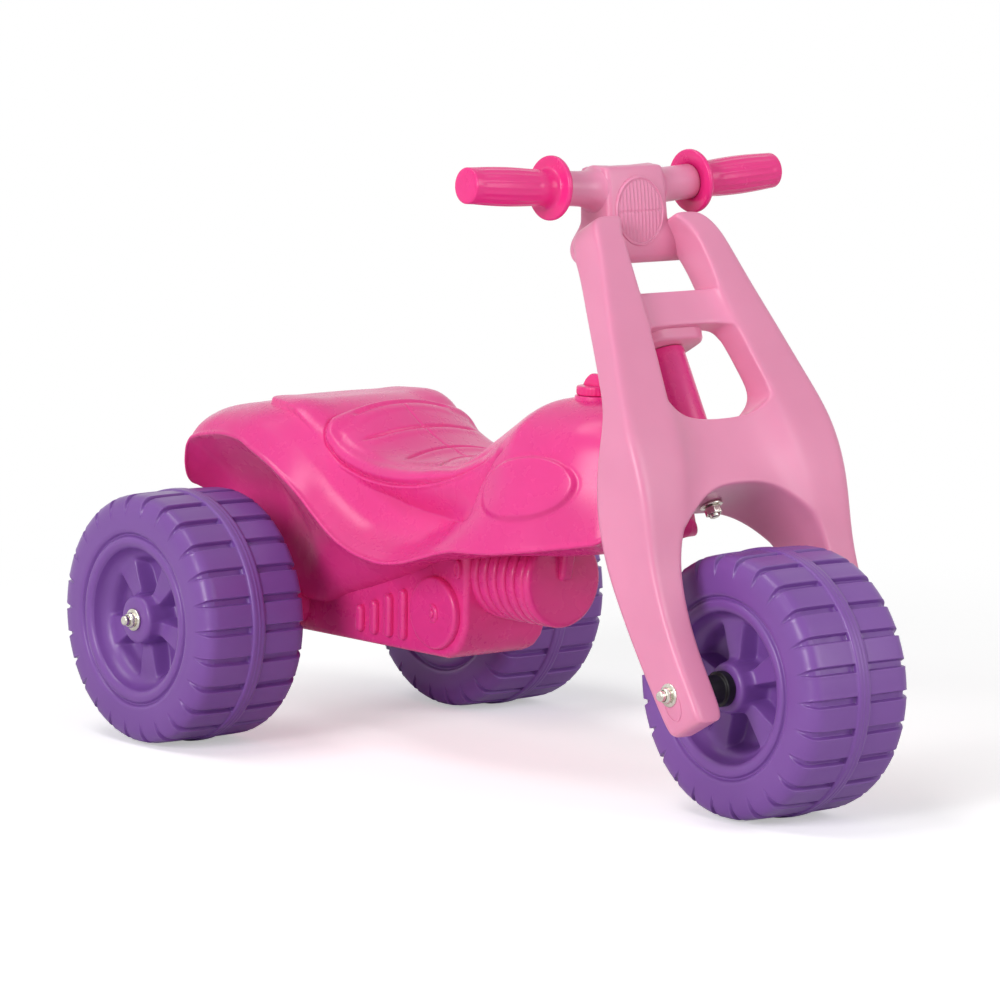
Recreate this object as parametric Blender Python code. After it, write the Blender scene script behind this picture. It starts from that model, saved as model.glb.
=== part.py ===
# Three-wheeled ride-on toy: a hollow moulded body on two rear wheels and a raked fork
# that steers one front wheel. Metres, +X forwards, +Y to the rider's left, +Z up.
# The origin is on the floor, half way between the two axles.
from math import cos, pi, radians, sin, sqrt

import bmesh
import bpy
from mathutils import Matrix, Vector

# Overall driving sizes
WHEELBASE = 0.5327
TRACK = 0.3138
WHEEL_RADIUS = 0.1025
RAKE = radians(28.48)
FORK_OFFSET = 0.0038
WALL = 0.003
CLEARANCE = 0.0003
SEAT_MARGIN = 0.0012
OVERCUT = 0.0100
RUNNING_GAP = 0.0006

# Tyres: blocks between cross grooves, with a raised band round the middle
TYRE_LUGS = 26
LUG_SHARE = 0.72
GROOVE_DEPTH = 0.0035
BAND_HEIGHT = 0.0015
BAND_HALF_WIDTH = 0.0062
TREAD_HALF_WIDTH = 0.0462
WHEEL_HALF_WIDTH = 0.0513
RIM_RADIUS = 0.0679
DISH_RADIUS = 0.0425
DISH_TOP = 0.038
POCKET_FLOOR = 0.022
HUB_RADIUS = 0.0185
HUB_HALF_WIDTH = 0.0487
TYRE_WALL = 0.0025
SPOKES = 5
SPOKE_INNER_WIDTH = 0.013
SPOKE_OUTER_WIDTH = 0.026
SPOKE_TOP_SHARE = 0.8
FRONT_WHEEL_TURN = 2
VENT_RADIUS = 0.0025
VENT_REACH = 0.0300
VENT_ANGLE = pi / SPOKES * 1.5

# Axles, the steering bolt and what is on them
AXLE_RADIUS = 0.004
AXLE_END_CHAMFER = 0.0008
WASHER_RADIUS = 0.0092
WASHER_THICKNESS = 0.0016
NUT_RADIUS = 0.0062
NUT_LENGTH = 0.0048
ROD_PROUD = 0.0038
SPACER_RADIUS = 0.0135
SPACER_RECESS_RADIUS = 0.0095
SPACER_RECESS_DEPTH = 0.008
BOLT_HEAD_RADIUS = 0.009
BOLT_HEAD_HEIGHT = 0.0045
STEERING_NUT_RADIUS = 0.0068
STEERING_NUT_LENGTH = 0.0065
STEERING_BOLT_PROUD = 0.0024

# Fork, in its own frame: lateral from the middle, along the steering axis from the
# axle, and ahead of the steering axis
LEG_INNER = 0.0780
LEG_OUTER = 0.1035
LEG_SEAT_DEPTH = 0.0006
CROWN_BOTTOM = 0.1437
CROWN_TOP = 0.1975
CROWN_BACK = -0.0235
CROWN_FRONT = 0.0500
CROSSBAR_BOTTOM = 0.2700
CROSSBAR_TOP = 0.3045
LUG_RADIUS = 0.0210
LUG_FRONT = 0.0350
LUG_DROP = 0.0040
SEAT_DEPTH = 0.0010
FORK_EDGE_CREASE = 0.45
FORK_WALL = 0.0058

# Handlebar and headlight block
BAR_AHEAD = 0.0147
BAR_HEIGHT = 0.4000
BAR_RISE = radians(3.5)
BAR_RADIUS = 0.0135
STUB_RADIUS = 0.0108
BLOCK_TILT = radians(4.8)
BAR_ROOT = 0.0050
HEADLIGHT_RADIUS = 0.0232
HEADLIGHT_DROP = 0.0138
HEADLIGHT_ROOT = 0.0120
HEADLIGHT_FACE = 0.0212
BLOCK_VENT_RADIUS = 0.0040

# Grips
FLANGE_START = 0.0690
FLANGE_RADIUS = 0.0250
FLANGE_THICKNESS = 0.0045
GRIP_END = 0.1570
GRIP_NECK_RADIUS = 0.0135
GRIP_NECK_LENGTH = 0.0120
GRIP_RADIUS = 0.0150
GRIP_END_RADIUS = 0.0136
GRIP_END_ROUND = 0.0025
STUB_END_GAP = 0.0040

# Body: places along X are measured forwards from the rear axle, and heights from the
# floor for a rear axle RAILS_AXLE_HEIGHT above it
NOSE_GAP = 0.0424
BLOCK_HALF = 0.0420
BLOCK_REAR = -0.0450
BLOCK_FRONT = 0.2210
BLOCK_BOTTOM = 0.0780
BLOCK_EDGE = 0.0050
DRUM_RADIUS = 0.0380
DRUM_FRONT = 0.2880
DRUM_REAR = 0.2143
DRUM_RIM = 0.0065
DRUM_EDGE = 0.0025
DRUM_HEIGHT = 0.1480
DRUM_ROOT = 0.0100
DRUM_SEGMENTS = 18
FIN_COUNT = 6
FIN_DEPTH = 0.0035
COVER_ALONG = 0.1820
COVER_HEIGHT = 0.1138
COVER_RADIUS = 0.0285
COVER_RELIEF = 0.0055
COVER_EDGE = 0.0020
COVER_BOSS_RADIUS = 0.0055
COVER_BOSS_RELIEF = 0.0020
BAR_RELIEF = 0.0035
BAR_TOPS = (0.1092, 0.1152, 0.1222, 0.1282)
BAR_FOOT = 0.0865
BAR_HALF_WIDTH = 0.0037
FIRST_BAR = 0.0857
BAR_PITCH = 0.0184
AXLE_BOSS_RADIUS = 0.0230
TUBE_RADIUS = 0.0175
TUBE_END = 0.0060
WEB_HALF_WIDTH = 0.0125
WEB_REACH = 0.0550
WEB_FOOT = 0.0030
WEB_TOP = 0.0270
PATCH_ROOT = 0.0060
PATCH_EDGE_SHARE = 0.35
KNEE_ALONG = 0.3168
KNEE_HEIGHT = 0.2287
KNEE_HALF_LENGTH = 0.0480
KNEE_HALF_HEIGHT = 0.0240
KNEE_TILT = radians(9)
KNEE_RELIEF = 0.0030
KNEE_POINTS = 20
BRACKET_LOW = (0.2915, 0.1495)
BRACKET_HIGH = (0.3035, 0.1790)
BRACKET_HALF_WIDTH = 0.0045

# Fuel cap on the tank
CAP_ALONG = 0.3240
CAP_SEAT = 0.2978
CAP_SEAT_DEPTH = 0.0140
CAP_RADIUS = 0.0157
CAP_HEIGHT = 0.0070
CAP_WING_HEIGHT = 0.0095
CAP_STEM_RADIUS = 0.0070
CAP_STEM_LENGTH = 0.0100
CAP_EDGE = 0.0015
CAP_WING_HALF_WIDTH = 0.0042

# Derived places
REAR_AXLE_X = -WHEELBASE / 2
FRONT_AXLE_X = WHEELBASE / 2
LUG_HALF_ANGLE = pi / TYRE_LUGS * LUG_SHARE
AXLE_HEIGHT = WHEEL_RADIUS * cos(LUG_HALF_ANGLE)
HUB_INSIDE = TRACK / 2 - HUB_HALF_WIDTH
HUB_OUTSIDE = TRACK / 2 + HUB_HALF_WIDTH
TUBE_BOTTOM = CROWN_TOP - SEAT_DEPTH + RUNNING_GAP
TUBE_TOP = CROSSBAR_BOTTOM - RUNNING_GAP
TUBE_FOOT_ALONG = WHEELBASE - FORK_OFFSET / cos(RAKE) - TUBE_BOTTOM * sin(RAKE)
NOSE_ALONG = TUBE_FOOT_ALONG - NOSE_GAP
BORE_RADIUS = AXLE_RADIUS + CLEARANCE
LUG_TOP = CROSSBAR_TOP - LUG_DROP
CROSSBAR_TO_BAR = BAR_HEIGHT - CROSSBAR_TOP
BLOCK_FOOT = -0.6073 * CROSSBAR_TO_BAR
LEG_TOP = CROSSBAR_TOP + 0.7068 * CROSSBAR_TO_BAR
LEG_SHOULDER = LEG_TOP - 0.0200
LEG_OUTER_SEAT = LEG_OUTER - LEG_SEAT_DEPTH
LEG_INNER_SEAT = LEG_INNER + LEG_SEAT_DEPTH


def clear_scene():
    for old in list(bpy.data.objects):
        bpy.data.objects.remove(old, do_unlink=True)


def material(name, colour, roughness, metallic=0.0):
    made = bpy.data.materials.new(name)
    made.use_nodes = True
    shader = made.node_tree.nodes["Principled BSDF"]
    shader.inputs["Base Color"].default_value = (*colour, 1.0)
    shader.inputs["Roughness"].default_value = roughness
    shader.inputs["Metallic"].default_value = metallic
    return made


def mesh_object(name, vertices, faces, finish=None, parent=None):
    mesh = bpy.data.meshes.new(name)
    mesh.from_pydata([tuple(v) for v in vertices], [], faces)
    work = bmesh.new()
    work.from_mesh(mesh)
    bmesh.ops.recalc_face_normals(work, faces=work.faces)
    work.to_mesh(mesh)
    work.free()
    made = bpy.data.objects.new(name, mesh)
    bpy.context.scene.collection.objects.link(made)
    if finish:
        mesh.materials.append(finish)
    made.parent = parent
    mesh.shade_smooth()
    mesh.set_sharp_from_angle(angle=radians(35))
    return made


def cutter(made):
    made.hide_render = True
    made.display_type = "WIRE"
    return made


def combine(target, other, operation):
    step = target.modifiers.new(other.name, "BOOLEAN")
    step.operation = operation
    step.solver = "EXACT"
    step.object = other
    cutter(other)


def cut(target, other):
    combine(target, other, "DIFFERENCE")


def add(target, other):
    combine(target, other, "UNION")


def turned(name, profile, segments, finish=None, parent=None, place=None, phase=0.5):
    """A solid of revolution about local Z. The profile is a list of (radius, height);
    points on the axis close the solid, otherwise the profile is a closed loop."""
    vertices = []
    rings = []
    for radius, height in profile:
        if radius < 1e-9:
            vertices.append((0.0, 0.0, height))
            rings.append([len(vertices) - 1] * segments)
            continue
        first = len(vertices)
        for k in range(segments):
            angle = 2 * pi * (k + phase) / segments
            vertices.append((radius * cos(angle), radius * sin(angle), height))
        rings.append(list(range(first, first + segments)))
    on_axis = profile[0][0] < 1e-9 and profile[-1][0] < 1e-9
    pairs = list(zip(rings, rings[1:]))
    if not on_axis:
        pairs.append((rings[-1], rings[0]))
    faces = []
    for low, high in pairs:
        for k in range(segments):
            nxt = (k + 1) % segments
            corners = [low[k], low[nxt], high[nxt], high[k]]
            face = [c for i, c in enumerate(corners) if c not in corners[:i]]
            if len(face) > 2:
                faces.append(face)
    made = mesh_object(name, vertices, faces, finish, parent)
    if place is not None:
        made.matrix_local = place
    return made


def rod(name, radius, start, end, segments, place, parent=None, finish=None, chamfer=0.0):
    profile = [(0.0, start), (radius - chamfer, start), (radius, start + chamfer),
               (radius, end - chamfer), (radius - chamfer, end), (0.0, end)]
    if chamfer == 0.0:
        profile = [(0.0, start), (radius, start), (radius, end), (0.0, end)]
    return turned(name, profile, segments, finish, parent, place)


def ring(name, inner, outer, start, end, segments, place, parent=None, finish=None):
    profile = [(inner, start), (outer, start), (outer, end), (inner, end)]
    return turned(name, profile, segments, finish, parent, place)


def box(name, low, high, place=None, parent=None):
    corners = [(x, y, z) for x in (low[0], high[0]) for y in (low[1], high[1])
               for z in (low[2], high[2])]
    faces = [(0, 1, 3, 2), (4, 6, 7, 5), (0, 4, 5, 1), (2, 3, 7, 6), (0, 2, 6, 4), (1, 5, 7, 3)]
    made = mesh_object(name, corners, faces, parent=parent)
    if place is not None:
        made.matrix_local = place
    return made


def loft(name, sections, finish=None, parent=None, place=None):
    """A closed skin through sections that all have the same number of points."""
    count = len(sections[0])
    vertices = [p for section in sections for p in section]
    faces = []
    for level in range(len(sections) - 1):
        for k in range(count):
            nxt = (k + 1) % count
            faces.append((level * count + k, level * count + nxt,
                          (level + 1) * count + nxt, (level + 1) * count + k))
    faces.append(tuple(range(count))[::-1])
    faces.append(tuple(range(len(vertices) - count, len(vertices))))
    made = mesh_object(name, vertices, faces, finish, parent)
    if place is not None:
        made.matrix_local = place
    return made


def rail(knots, x):
    """A smooth value along the body: cubic through the knots, with limited slopes."""
    if x <= knots[0][0]:
        return knots[0][1]
    if x >= knots[-1][0]:
        return knots[-1][1]
    steps = [(b[1] - a[1]) / (b[0] - a[0]) for a, b in zip(knots, knots[1:])]
    slopes = [steps[0]]
    for before, after in zip(steps, steps[1:]):
        same_way = before * after > 0
        slopes.append(2 * before * after / (before + after) if same_way else 0.0)
    slopes.append(steps[-1])
    for i, (a, b) in enumerate(zip(knots, knots[1:])):
        if x <= b[0]:
            span = b[0] - a[0]
            u = (x - a[0]) / span
            return (a[1] * (1 + 2 * u) * (1 - u) ** 2 + slopes[i] * span * u * (1 - u) ** 2
                    + b[1] * u * u * (3 - 2 * u) + slopes[i + 1] * span * u * u * (u - 1))
    return knots[-1][1]


def spline(points, per_span):
    """Points on a Catmull-Rom curve through the given ones, ends included."""
    padded = [points[0]] + list(points) + [points[-1]]
    made = []
    for i in range(1, len(padded) - 2):
        p0, p1, p2, p3 = (Vector(p) for p in padded[i - 1:i + 3])
        for k in range(per_span):
            u = k / per_span
            made.append(0.5 * (2 * p1 + (p2 - p0) * u + (2 * p0 - 5 * p1 + 4 * p2 - p3) * u * u
                               + (3 * p1 - p0 - 3 * p2 + p3) * u ** 3))
    made.append(Vector(points[-1]))
    return made


def inset(outline, distance):
    """The closed outline moved inwards; it runs so that its inside is on the left."""
    made = []
    count = len(outline)
    for k, point in enumerate(outline):
        before = (point - outline[k - 1]).normalized()
        after = (outline[(k + 1) % count] - point).normalized()
        middle = before + after
        middle = middle.normalized() if middle.length > 1e-6 else after
        lean = max(0.5, sqrt(max(0.0, (1 + before.dot(after)) / 2)))
        made.append(point + Vector((-middle.y, middle.x)) * (distance / lean))
    return made


# Body skin: rails along X for the half section's guide points, drawn for a body whose
# nose is RAILS_END ahead of the rear axle, and for that height of the axle
RAILS_END = 0.392
RAILS_AXLE_HEIGHT = 0.100
TOP_Z = ((-0.086, 0.226), (-0.080, 0.240), (-0.065, 0.2555), (-0.040, 0.2620), (0.0, 0.2658),
         (0.050, 0.2672), (0.074, 0.2652), (0.088, 0.2580), (0.108, 0.2470), (0.142, 0.2337),
         (0.170, 0.2292), (0.190, 0.2320), (0.2047, 0.2420), (0.2201, 0.2590), (0.2376, 0.2745),
         (0.2586, 0.2850), (0.2865, 0.2920), (0.316, 0.2962), (0.335, 0.2962), (0.360, 0.2940),
         (0.392, 0.2853))
SHOULDER_Y = ((-0.086, 0.046), (-0.078, 0.062), (-0.065, 0.068), (-0.040, 0.071), (0.050, 0.071),
              (0.100, 0.071), (0.188, 0.069), (0.225, 0.062), (0.250, 0.055), (0.300, 0.050),
              (0.350, 0.044), (0.392, 0.0295))
SHOULDER_Z = ((-0.086, 0.221), (-0.078, 0.240), (-0.065, 0.2525), (-0.040, 0.2598), (0.0, 0.2645),
              (0.030, 0.2655), (0.050, 0.2625), (0.070, 0.2520), (0.0907, 0.2345),
              (0.143, 0.2220), (0.188, 0.2230), (0.215, 0.2270), (0.243, 0.2360),
              (0.266, 0.2520), (0.2806, 0.2665), (0.300, 0.2775), (0.350, 0.2765),
              (0.392, 0.2685))
CROWN_SAG = ((0.0, 0.24), (0.190, 0.24), (0.235, 0.50), (0.250, 0.48), (0.275, 0.28), (0.300, 0.22))
FLANK_Y = ((-0.086, 0.062), (-0.078, 0.086), (-0.065, 0.092), (-0.040, 0.095), (0.0, 0.096),
           (0.050, 0.090), (0.100, 0.081), (0.150, 0.074), (0.200, 0.071), (0.250, 0.073),
           (0.300, 0.073), (0.350, 0.061), (0.392, 0.039))
FLANK_Z = ((-0.086, 0.211), (-0.078, 0.226), (-0.065, 0.238), (-0.040, 0.248), (0.0, 0.2550),
           (0.050, 0.2440), (0.100, 0.2080), (0.150, 0.1830), (0.200, 0.1790), (0.250, 0.2000),
           (0.300, 0.2240), (0.350, 0.2320), (0.392, 0.2365))
LIP_Y = ((-0.086, 0.072), (-0.082, 0.091), (-0.076, 0.0995), (-0.060, 0.103), (0.0, 0.105),
         (0.210, 0.105), (0.250, 0.099), (0.300, 0.0875), (0.350, 0.065), (0.392, 0.049))
LIP_Z = ((-0.086, 0.202), (-0.080, 0.2110), (-0.069, 0.2200), (-0.053, 0.2367), (-0.018, 0.2456),
         (0.0245, 0.2404), (0.0704, 0.2154), (0.1083, 0.1871), (0.1383, 0.1698),
         (0.168, 0.1572), (0.190, 0.1517), (0.208, 0.1520), (0.2305, 0.1600), (0.254, 0.1710),
         (0.268, 0.1768), (0.2936, 0.1815), (0.3261, 0.1858), (0.3564, 0.1910), (0.392, 0.1980))
LIP_THICKNESS = 0.0060
WELL_Y = ((-0.086, 0.048), (-0.060, 0.066), (0.0, 0.062), (0.080, 0.062), (0.130, 0.080),
          (0.170, 0.090), (0.210, 0.090), (0.250, 0.080), (0.300, 0.066), (0.350, 0.048),
          (0.392, 0.032))
WELL_Z = ((-0.086, 0.180), (-0.060, 0.174), (0.0, 0.167), (0.060, 0.158), (0.104, 0.150),
          (0.150, 0.1460), (0.190, 0.1450), (0.210, 0.1470), (0.2305, 0.1545), (0.254, 0.1650),
          (0.300, 0.1740), (0.350, 0.1820), (0.392, 0.1890))
UNDER_Y = ((-0.086, 0.030), (-0.060, 0.044), (0.0, 0.044), (0.200, 0.044), (0.300, 0.036),
           (0.350, 0.028), (0.392, 0.018))
UNDER_Z = ((-0.086, 0.160), (-0.060, 0.130), (0.0, 0.108), (0.057, 0.110), (0.146, 0.1370),
           (0.190, 0.1560), (0.230, 0.1630), (0.270, 0.1680), (0.310, 0.1730), (0.350, 0.1790),
           (0.392, 0.1870))
BODY_STATIONS = (-0.086, -0.081, -0.074, -0.063, -0.048, -0.028, -0.005, 0.020, 0.045, 0.070,
                 0.095, 0.118, 0.140, 0.162, 0.184, 0.202, 0.217, 0.233, 0.252, 0.275, 0.300,
                 0.325, 0.350, 0.373, 0.392)
SKIN_STEPS = 2
HOLLOW_STEPS = 1
HOLLOW_MARGIN = 0.0012
CROWN_REACH = 0.52

# Raised parts of the skin: half width and height above it, along X
PLATEAU_HALF = ((-0.004, 0.0680), (0.004, 0.0710), (0.045, 0.0780), (0.072, 0.0740))
PLATEAU_RELIEF = ((-0.004, 0.0045), (0.060, 0.0045), (0.072, 0.0035))
PLATEAU_STATIONS = (-0.004, 0.004, 0.020, 0.040, 0.058, 0.070)
PAD_HALF = ((0.070, 0.0500), (0.076, 0.0610), (0.090, 0.0680), (0.143, 0.0700), (0.190, 0.0685),
            (0.215, 0.0630), (0.230, 0.0540))
PAD_RELIEF = ((0.070, 0.0050), (0.190, 0.0055), (0.2047, 0.0035), (0.230, 0.0025))
PAD_STATIONS = (0.070, 0.076, 0.090, 0.104, 0.118, 0.134, 0.150, 0.166, 0.182, 0.196, 0.208,
                0.220, 0.228)

# Side outline of the engine block: along X and up, inside on the left
BLOCK_OUTLINE = ((BLOCK_REAR, 0.152), (BLOCK_REAR, 0.112), (-0.030, 0.088),
                 (-0.012, BLOCK_BOTTOM), (BLOCK_FRONT - 0.026, BLOCK_BOTTOM),
                 (BLOCK_FRONT - 0.010, BLOCK_BOTTOM + 0.010),
                 (BLOCK_FRONT, BLOCK_BOTTOM + 0.026), (BLOCK_FRONT, 0.168))

# Fork legs from the foot to the shoulder: up the axis, inner and outer side, back, front
LEG_ROWS = ((-0.0325, 0.0800, LEG_OUTER - 0.002, -0.0080, 0.0235),
            (-0.0265, LEG_INNER, LEG_OUTER, -0.0115, 0.0260),
            (0.0000, LEG_INNER, LEG_OUTER, -0.0145, 0.0245),
            (0.0400, LEG_INNER, LEG_OUTER, -0.0190, 0.0220),
            (0.0880, 0.0750, LEG_OUTER, -0.0215, 0.0275),
            (0.1150, 0.0665, 0.1040, -0.0200, 0.0370),
            (0.1500, 0.0600, 0.1050, -0.0120, 0.0485),
            (0.1850, 0.0560, 0.1045, 0.0070, 0.0505),
            (0.2120, 0.0525, 0.0985, 0.0230, 0.0490),
            (0.2365, 0.0483, 0.0925, 0.0225, 0.0470),
            (CROSSBAR_BOTTOM + 0.0015, 0.0435, 0.0840, 0.0195, 0.0450),
            (CROSSBAR_TOP - 0.0010, 0.0398, 0.0755, 0.0155, 0.0430),
            (0.4 * CROSSBAR_TOP + 0.6 * LEG_SHOULDER, 0.0385, 0.0675, 0.0125, 0.0425),
            (LEG_SHOULDER, 0.0360, 0.0635, 0.0080, 0.0410),
            (LEG_TOP - 0.0080, 0.0300, 0.0585, 0.0060, 0.0380),
            (LEG_TOP, 0.0240, 0.0520, 0.0080, 0.0340))
CROWN_ROWS = (5, 6, 7, 8)
CROWN_MID = 0.0350
CROWN_MID_UP = (CROWN_BOTTOM - 0.0027, 0.1600, 0.1800, CROWN_TOP + 0.0025)
CROWN_AXIS_UP = (CROWN_BOTTOM, 0.1620, 0.1800, CROWN_TOP + 0.0005)
CROSSBAR_ROWS = (10, 11)
CROSSBAR_MID = 0.0240

# Headlight block, up from the handlebar: height, back, front, half width, corner radius
BLOCK_SECTIONS = ((BLOCK_FOOT, -0.0040, 0.0150, 0.0460, 0.0060),
                  (BLOCK_FOOT + 2 * WALL, -0.0120, 0.0210, 0.0460, 0.0070),
                  (-0.3979 * CROSSBAR_TO_BAR, -0.0180, 0.0220, 0.0410, 0.0070),
                  (-0.2304 * CROSSBAR_TO_BAR, -0.0170, 0.0207, 0.0305, 0.0070),
                  (0.0000, -0.0165, 0.0195, 0.0295, 0.0070),
                  (0.0160, -0.0155, 0.0175, 0.0290, 0.0070),
                  (0.0200, -0.0130, 0.0120, 0.0260, 0.0050))


def along(x):
    """World X of a place drawn on the rails; ahead of the rear axle they stretch."""
    return REAR_AXLE_X + (x * NOSE_ALONG / RAILS_END if x > 0 else x)


def up(z):
    """World height of a height drawn on the rails."""
    return z + AXLE_HEIGHT - RAILS_AXLE_HEIGHT


def body_outline(x, steps=SKIN_STEPS):
    """Half section of the skin at x, from the top middle down to the underside middle."""
    lip_y = rail(LIP_Y, x)
    lip_z = rail(LIP_Z, x)
    top = rail(TOP_Z, x)
    shoulder_y = rail(SHOULDER_Y, x)
    shoulder_z = rail(SHOULDER_Z, x)
    crown = (shoulder_y * CROWN_REACH, top - (top - shoulder_z) * rail(CROWN_SAG, x))
    guides = [(0.0, top), crown, (shoulder_y, shoulder_z),
              (rail(FLANK_Y, x), rail(FLANK_Z, x)), (lip_y, lip_z),
              (lip_y - LIP_THICKNESS * 0.5, lip_z - LIP_THICKNESS),
              (rail(WELL_Y, x), rail(WELL_Z, x)), (rail(UNDER_Y, x), rail(UNDER_Z, x)),
              (0.0, rail(UNDER_Z, x) - 0.002)]
    return spline(guides, steps)


def body_section(x, shrink=0.0, reach=0.0):
    half = body_outline(x, HOLLOW_STEPS if shrink else SKIN_STEPS)
    outline = half + [Vector((-p.x, p.y)) for p in half[1:-1]][::-1]
    if shrink:
        outline = inset(outline[::-1], shrink)
    return [(along(x) + reach, p.x, up(p.y)) for p in outline]


def body_skin(name, shrink=0.0, finish=None):
    first, last = BODY_STATIONS[0], BODY_STATIONS[-1]
    sections = []
    for x in BODY_STATIONS:
        towards_middle = 1 - 2 * (x - first) / (last - first)
        sections.append(body_section(x, shrink, towards_middle * shrink))
    return loft(name, sections, finish)


def frame_matrix():
    """Steering axis at axle height: X ahead, Y to the left, Z up the axis."""
    place = Matrix.Translation((FRONT_AXLE_X - FORK_OFFSET / cos(RAKE), 0.0, AXLE_HEIGHT))
    return place @ Matrix.Rotation(-RAKE, 4, "Y")


def steering_frame():
    frame = bpy.data.objects.new("steering_frame", None)
    frame.matrix_world = frame_matrix()
    bpy.context.scene.collection.objects.link(frame)
    return frame


def axle_place(x, z):
    """Local Z along world Y, through the given x and z."""
    return Matrix.Translation((x, 0.0, z)) @ Matrix.Rotation(-pi / 2, 4, "X")


def in_frame(place):
    return frame_matrix().inverted() @ place


def rounded_rectangle(back, front, half_width, radius, height, steps=2):
    """Corner-rounded rectangle across X and Y at the given local height."""
    corners = ((front - radius, half_width - radius, 0.0),
               (back + radius, half_width - radius, pi / 2),
               (back + radius, radius - half_width, pi),
               (front - radius, radius - half_width, 3 * pi / 2))
    points = []
    for x, y, turn in corners:
        for k in range(steps + 1):
            angle = turn + pi / 2 * k / steps
            points.append((x + radius * cos(angle), y + radius * sin(angle), height))
    return points


def skin_height(x, y):
    """Height of the upper skin at x, |y|."""
    outline = body_outline(x)
    y = abs(y)
    for a, b in zip(outline, outline[1:]):
        if a.x <= y <= b.x:
            share = (y - a.x) / max(b.x - a.x, 1e-9)
            return a.y + (b.y - a.y) * share
    return max(outline, key=lambda p: p.x).y


def skin_side(x, z):
    """Half width of the skin at x and height z, above the lip."""
    outline = body_outline(x)
    for a, b in zip(outline, outline[1:]):
        if b.y <= z <= a.y:
            share = (a.y - z) / max(a.y - b.y, 1e-9)
            return a.x + (b.x - a.x) * share
    return max(p.x for p in outline)


def raised_patch(name, knots, stations, relief, steps):
    """A slab that follows the skin from below it to its relief above it. The knots give
    its half width along X, and relief its height there."""
    sections = []
    for x in stations:
        half = rail(knots, x)
        lift = rail(relief, x)
        upper = []
        for k in range(steps + 1):
            across = -cos(pi * k / steps)
            edge = PATCH_EDGE_SHARE if k in (0, steps) else 1.0
            y = half * across
            upper.append((along(x), y, up(skin_height(x, y) + lift * edge)))
        lower = [(px, py, pz - PATCH_ROOT - lift) for px, py, pz in upper[::-1]]
        sections.append(upper + lower)
    return loft(name, sections)


def engine_block(name, shrink):
    """The block under the seat: a side outline with rounded long edges."""
    outline = inset([Vector(p) for p in BLOCK_OUTLINE], shrink)
    rounded = inset(outline, BLOCK_EDGE)
    half = BLOCK_HALF - shrink
    layers = ((-half, rounded), (-half + BLOCK_EDGE, outline),
              (half - BLOCK_EDGE, outline), (half, rounded))
    return loft(name, [[(along(p.x), y, up(p.y)) for p in shape] for y, shape in layers])


def drum(name, shrink):
    """The finned cylinder under the tank, along X."""
    pitch = (DRUM_FRONT - DRUM_RIM - DRUM_REAR) / FIN_COUNT
    profile = [(0.0, DRUM_REAR - DRUM_ROOT + shrink)]
    if shrink:
        profile += [(DRUM_RADIUS - FIN_DEPTH - shrink, DRUM_REAR - DRUM_ROOT + shrink),
                    (DRUM_RADIUS - FIN_DEPTH - shrink, DRUM_FRONT - shrink)]
    else:
        profile.append((DRUM_RADIUS - FIN_DEPTH, DRUM_REAR - DRUM_ROOT))
        for k in range(FIN_COUNT):
            start = DRUM_REAR + k * pitch
            profile += [(DRUM_RADIUS - FIN_DEPTH, start), (DRUM_RADIUS, start + 0.3 * pitch),
                        (DRUM_RADIUS, start + 0.7 * pitch)]
        profile += [(DRUM_RADIUS - FIN_DEPTH, DRUM_FRONT - DRUM_RIM),
                    (DRUM_RADIUS, DRUM_FRONT - DRUM_RIM + 0.3 * pitch),
                    (DRUM_RADIUS, DRUM_FRONT - DRUM_EDGE), (DRUM_RADIUS - DRUM_EDGE, DRUM_FRONT)]
    profile.append((0.0, DRUM_FRONT - shrink))
    profile = [(radius, along(x)) for radius, x in profile]
    place = Matrix.Translation((0.0, 0.0, up(DRUM_HEIGHT))) @ Matrix.Rotation(pi / 2, 4, "Y")
    return turned(name, profile, DRUM_SEGMENTS, place=place)


def engine_relief(body):
    """Round covers and upright bars on both sides of the block."""
    for side, hand in ((1, "left"), (-1, "right")):
        place = Matrix.Translation((along(COVER_ALONG), 0.0, up(COVER_HEIGHT)))
        place = place @ Matrix.Rotation(-side * pi / 2, 4, "X")
        face = BLOCK_HALF + COVER_RELIEF
        profile = [(0.0, BLOCK_HALF - WALL / 2), (COVER_RADIUS, BLOCK_HALF - WALL / 2),
                   (COVER_RADIUS, face - COVER_EDGE), (COVER_RADIUS - COVER_EDGE, face),
                   (COVER_BOSS_RADIUS, face), (COVER_BOSS_RADIUS, face + COVER_BOSS_RELIEF),
                   (0.0, face + COVER_BOSS_RELIEF)]
        add(body, turned("cover_" + hand, profile, 24, place=place))
        for k, top in enumerate(BAR_TOPS):
            x = along(FIRST_BAR + k * BAR_PITCH)
            low = (x - BAR_HALF_WIDTH, side * (BLOCK_HALF - WALL / 2), up(BAR_FOOT))
            high = (x + BAR_HALF_WIDTH, side * (BLOCK_HALF + BAR_RELIEF), up(top))
            bar = box(f"bar_{hand}_{k}", [min(a, b) for a, b in zip(low, high)],
                      [max(a, b) for a, b in zip(low, high)])
            add(body, bar)


def knee_pads(body):
    """Raised ovals on both sides of the tank."""
    for side, hand in ((1, "left"), (-1, "right")):
        layers = []
        for share, lift in ((1.0, -PATCH_ROOT), (1.0, KNEE_RELIEF * 0.4), (0.88, KNEE_RELIEF)):
            points = []
            for k in range(KNEE_POINTS):
                angle = 2 * pi * k / KNEE_POINTS
                reach = KNEE_HALF_LENGTH * share * cos(angle)
                rise = KNEE_HALF_HEIGHT * share * sin(angle)
                x = KNEE_ALONG + reach * cos(KNEE_TILT) - rise * sin(KNEE_TILT)
                z = KNEE_HEIGHT + reach * sin(KNEE_TILT) + rise * cos(KNEE_TILT)
                points.append((along(x), side * (skin_side(x, z) + lift), up(z)))
            layers.append(points)
        add(body, loft("knee_pad_" + hand, layers))


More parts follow.
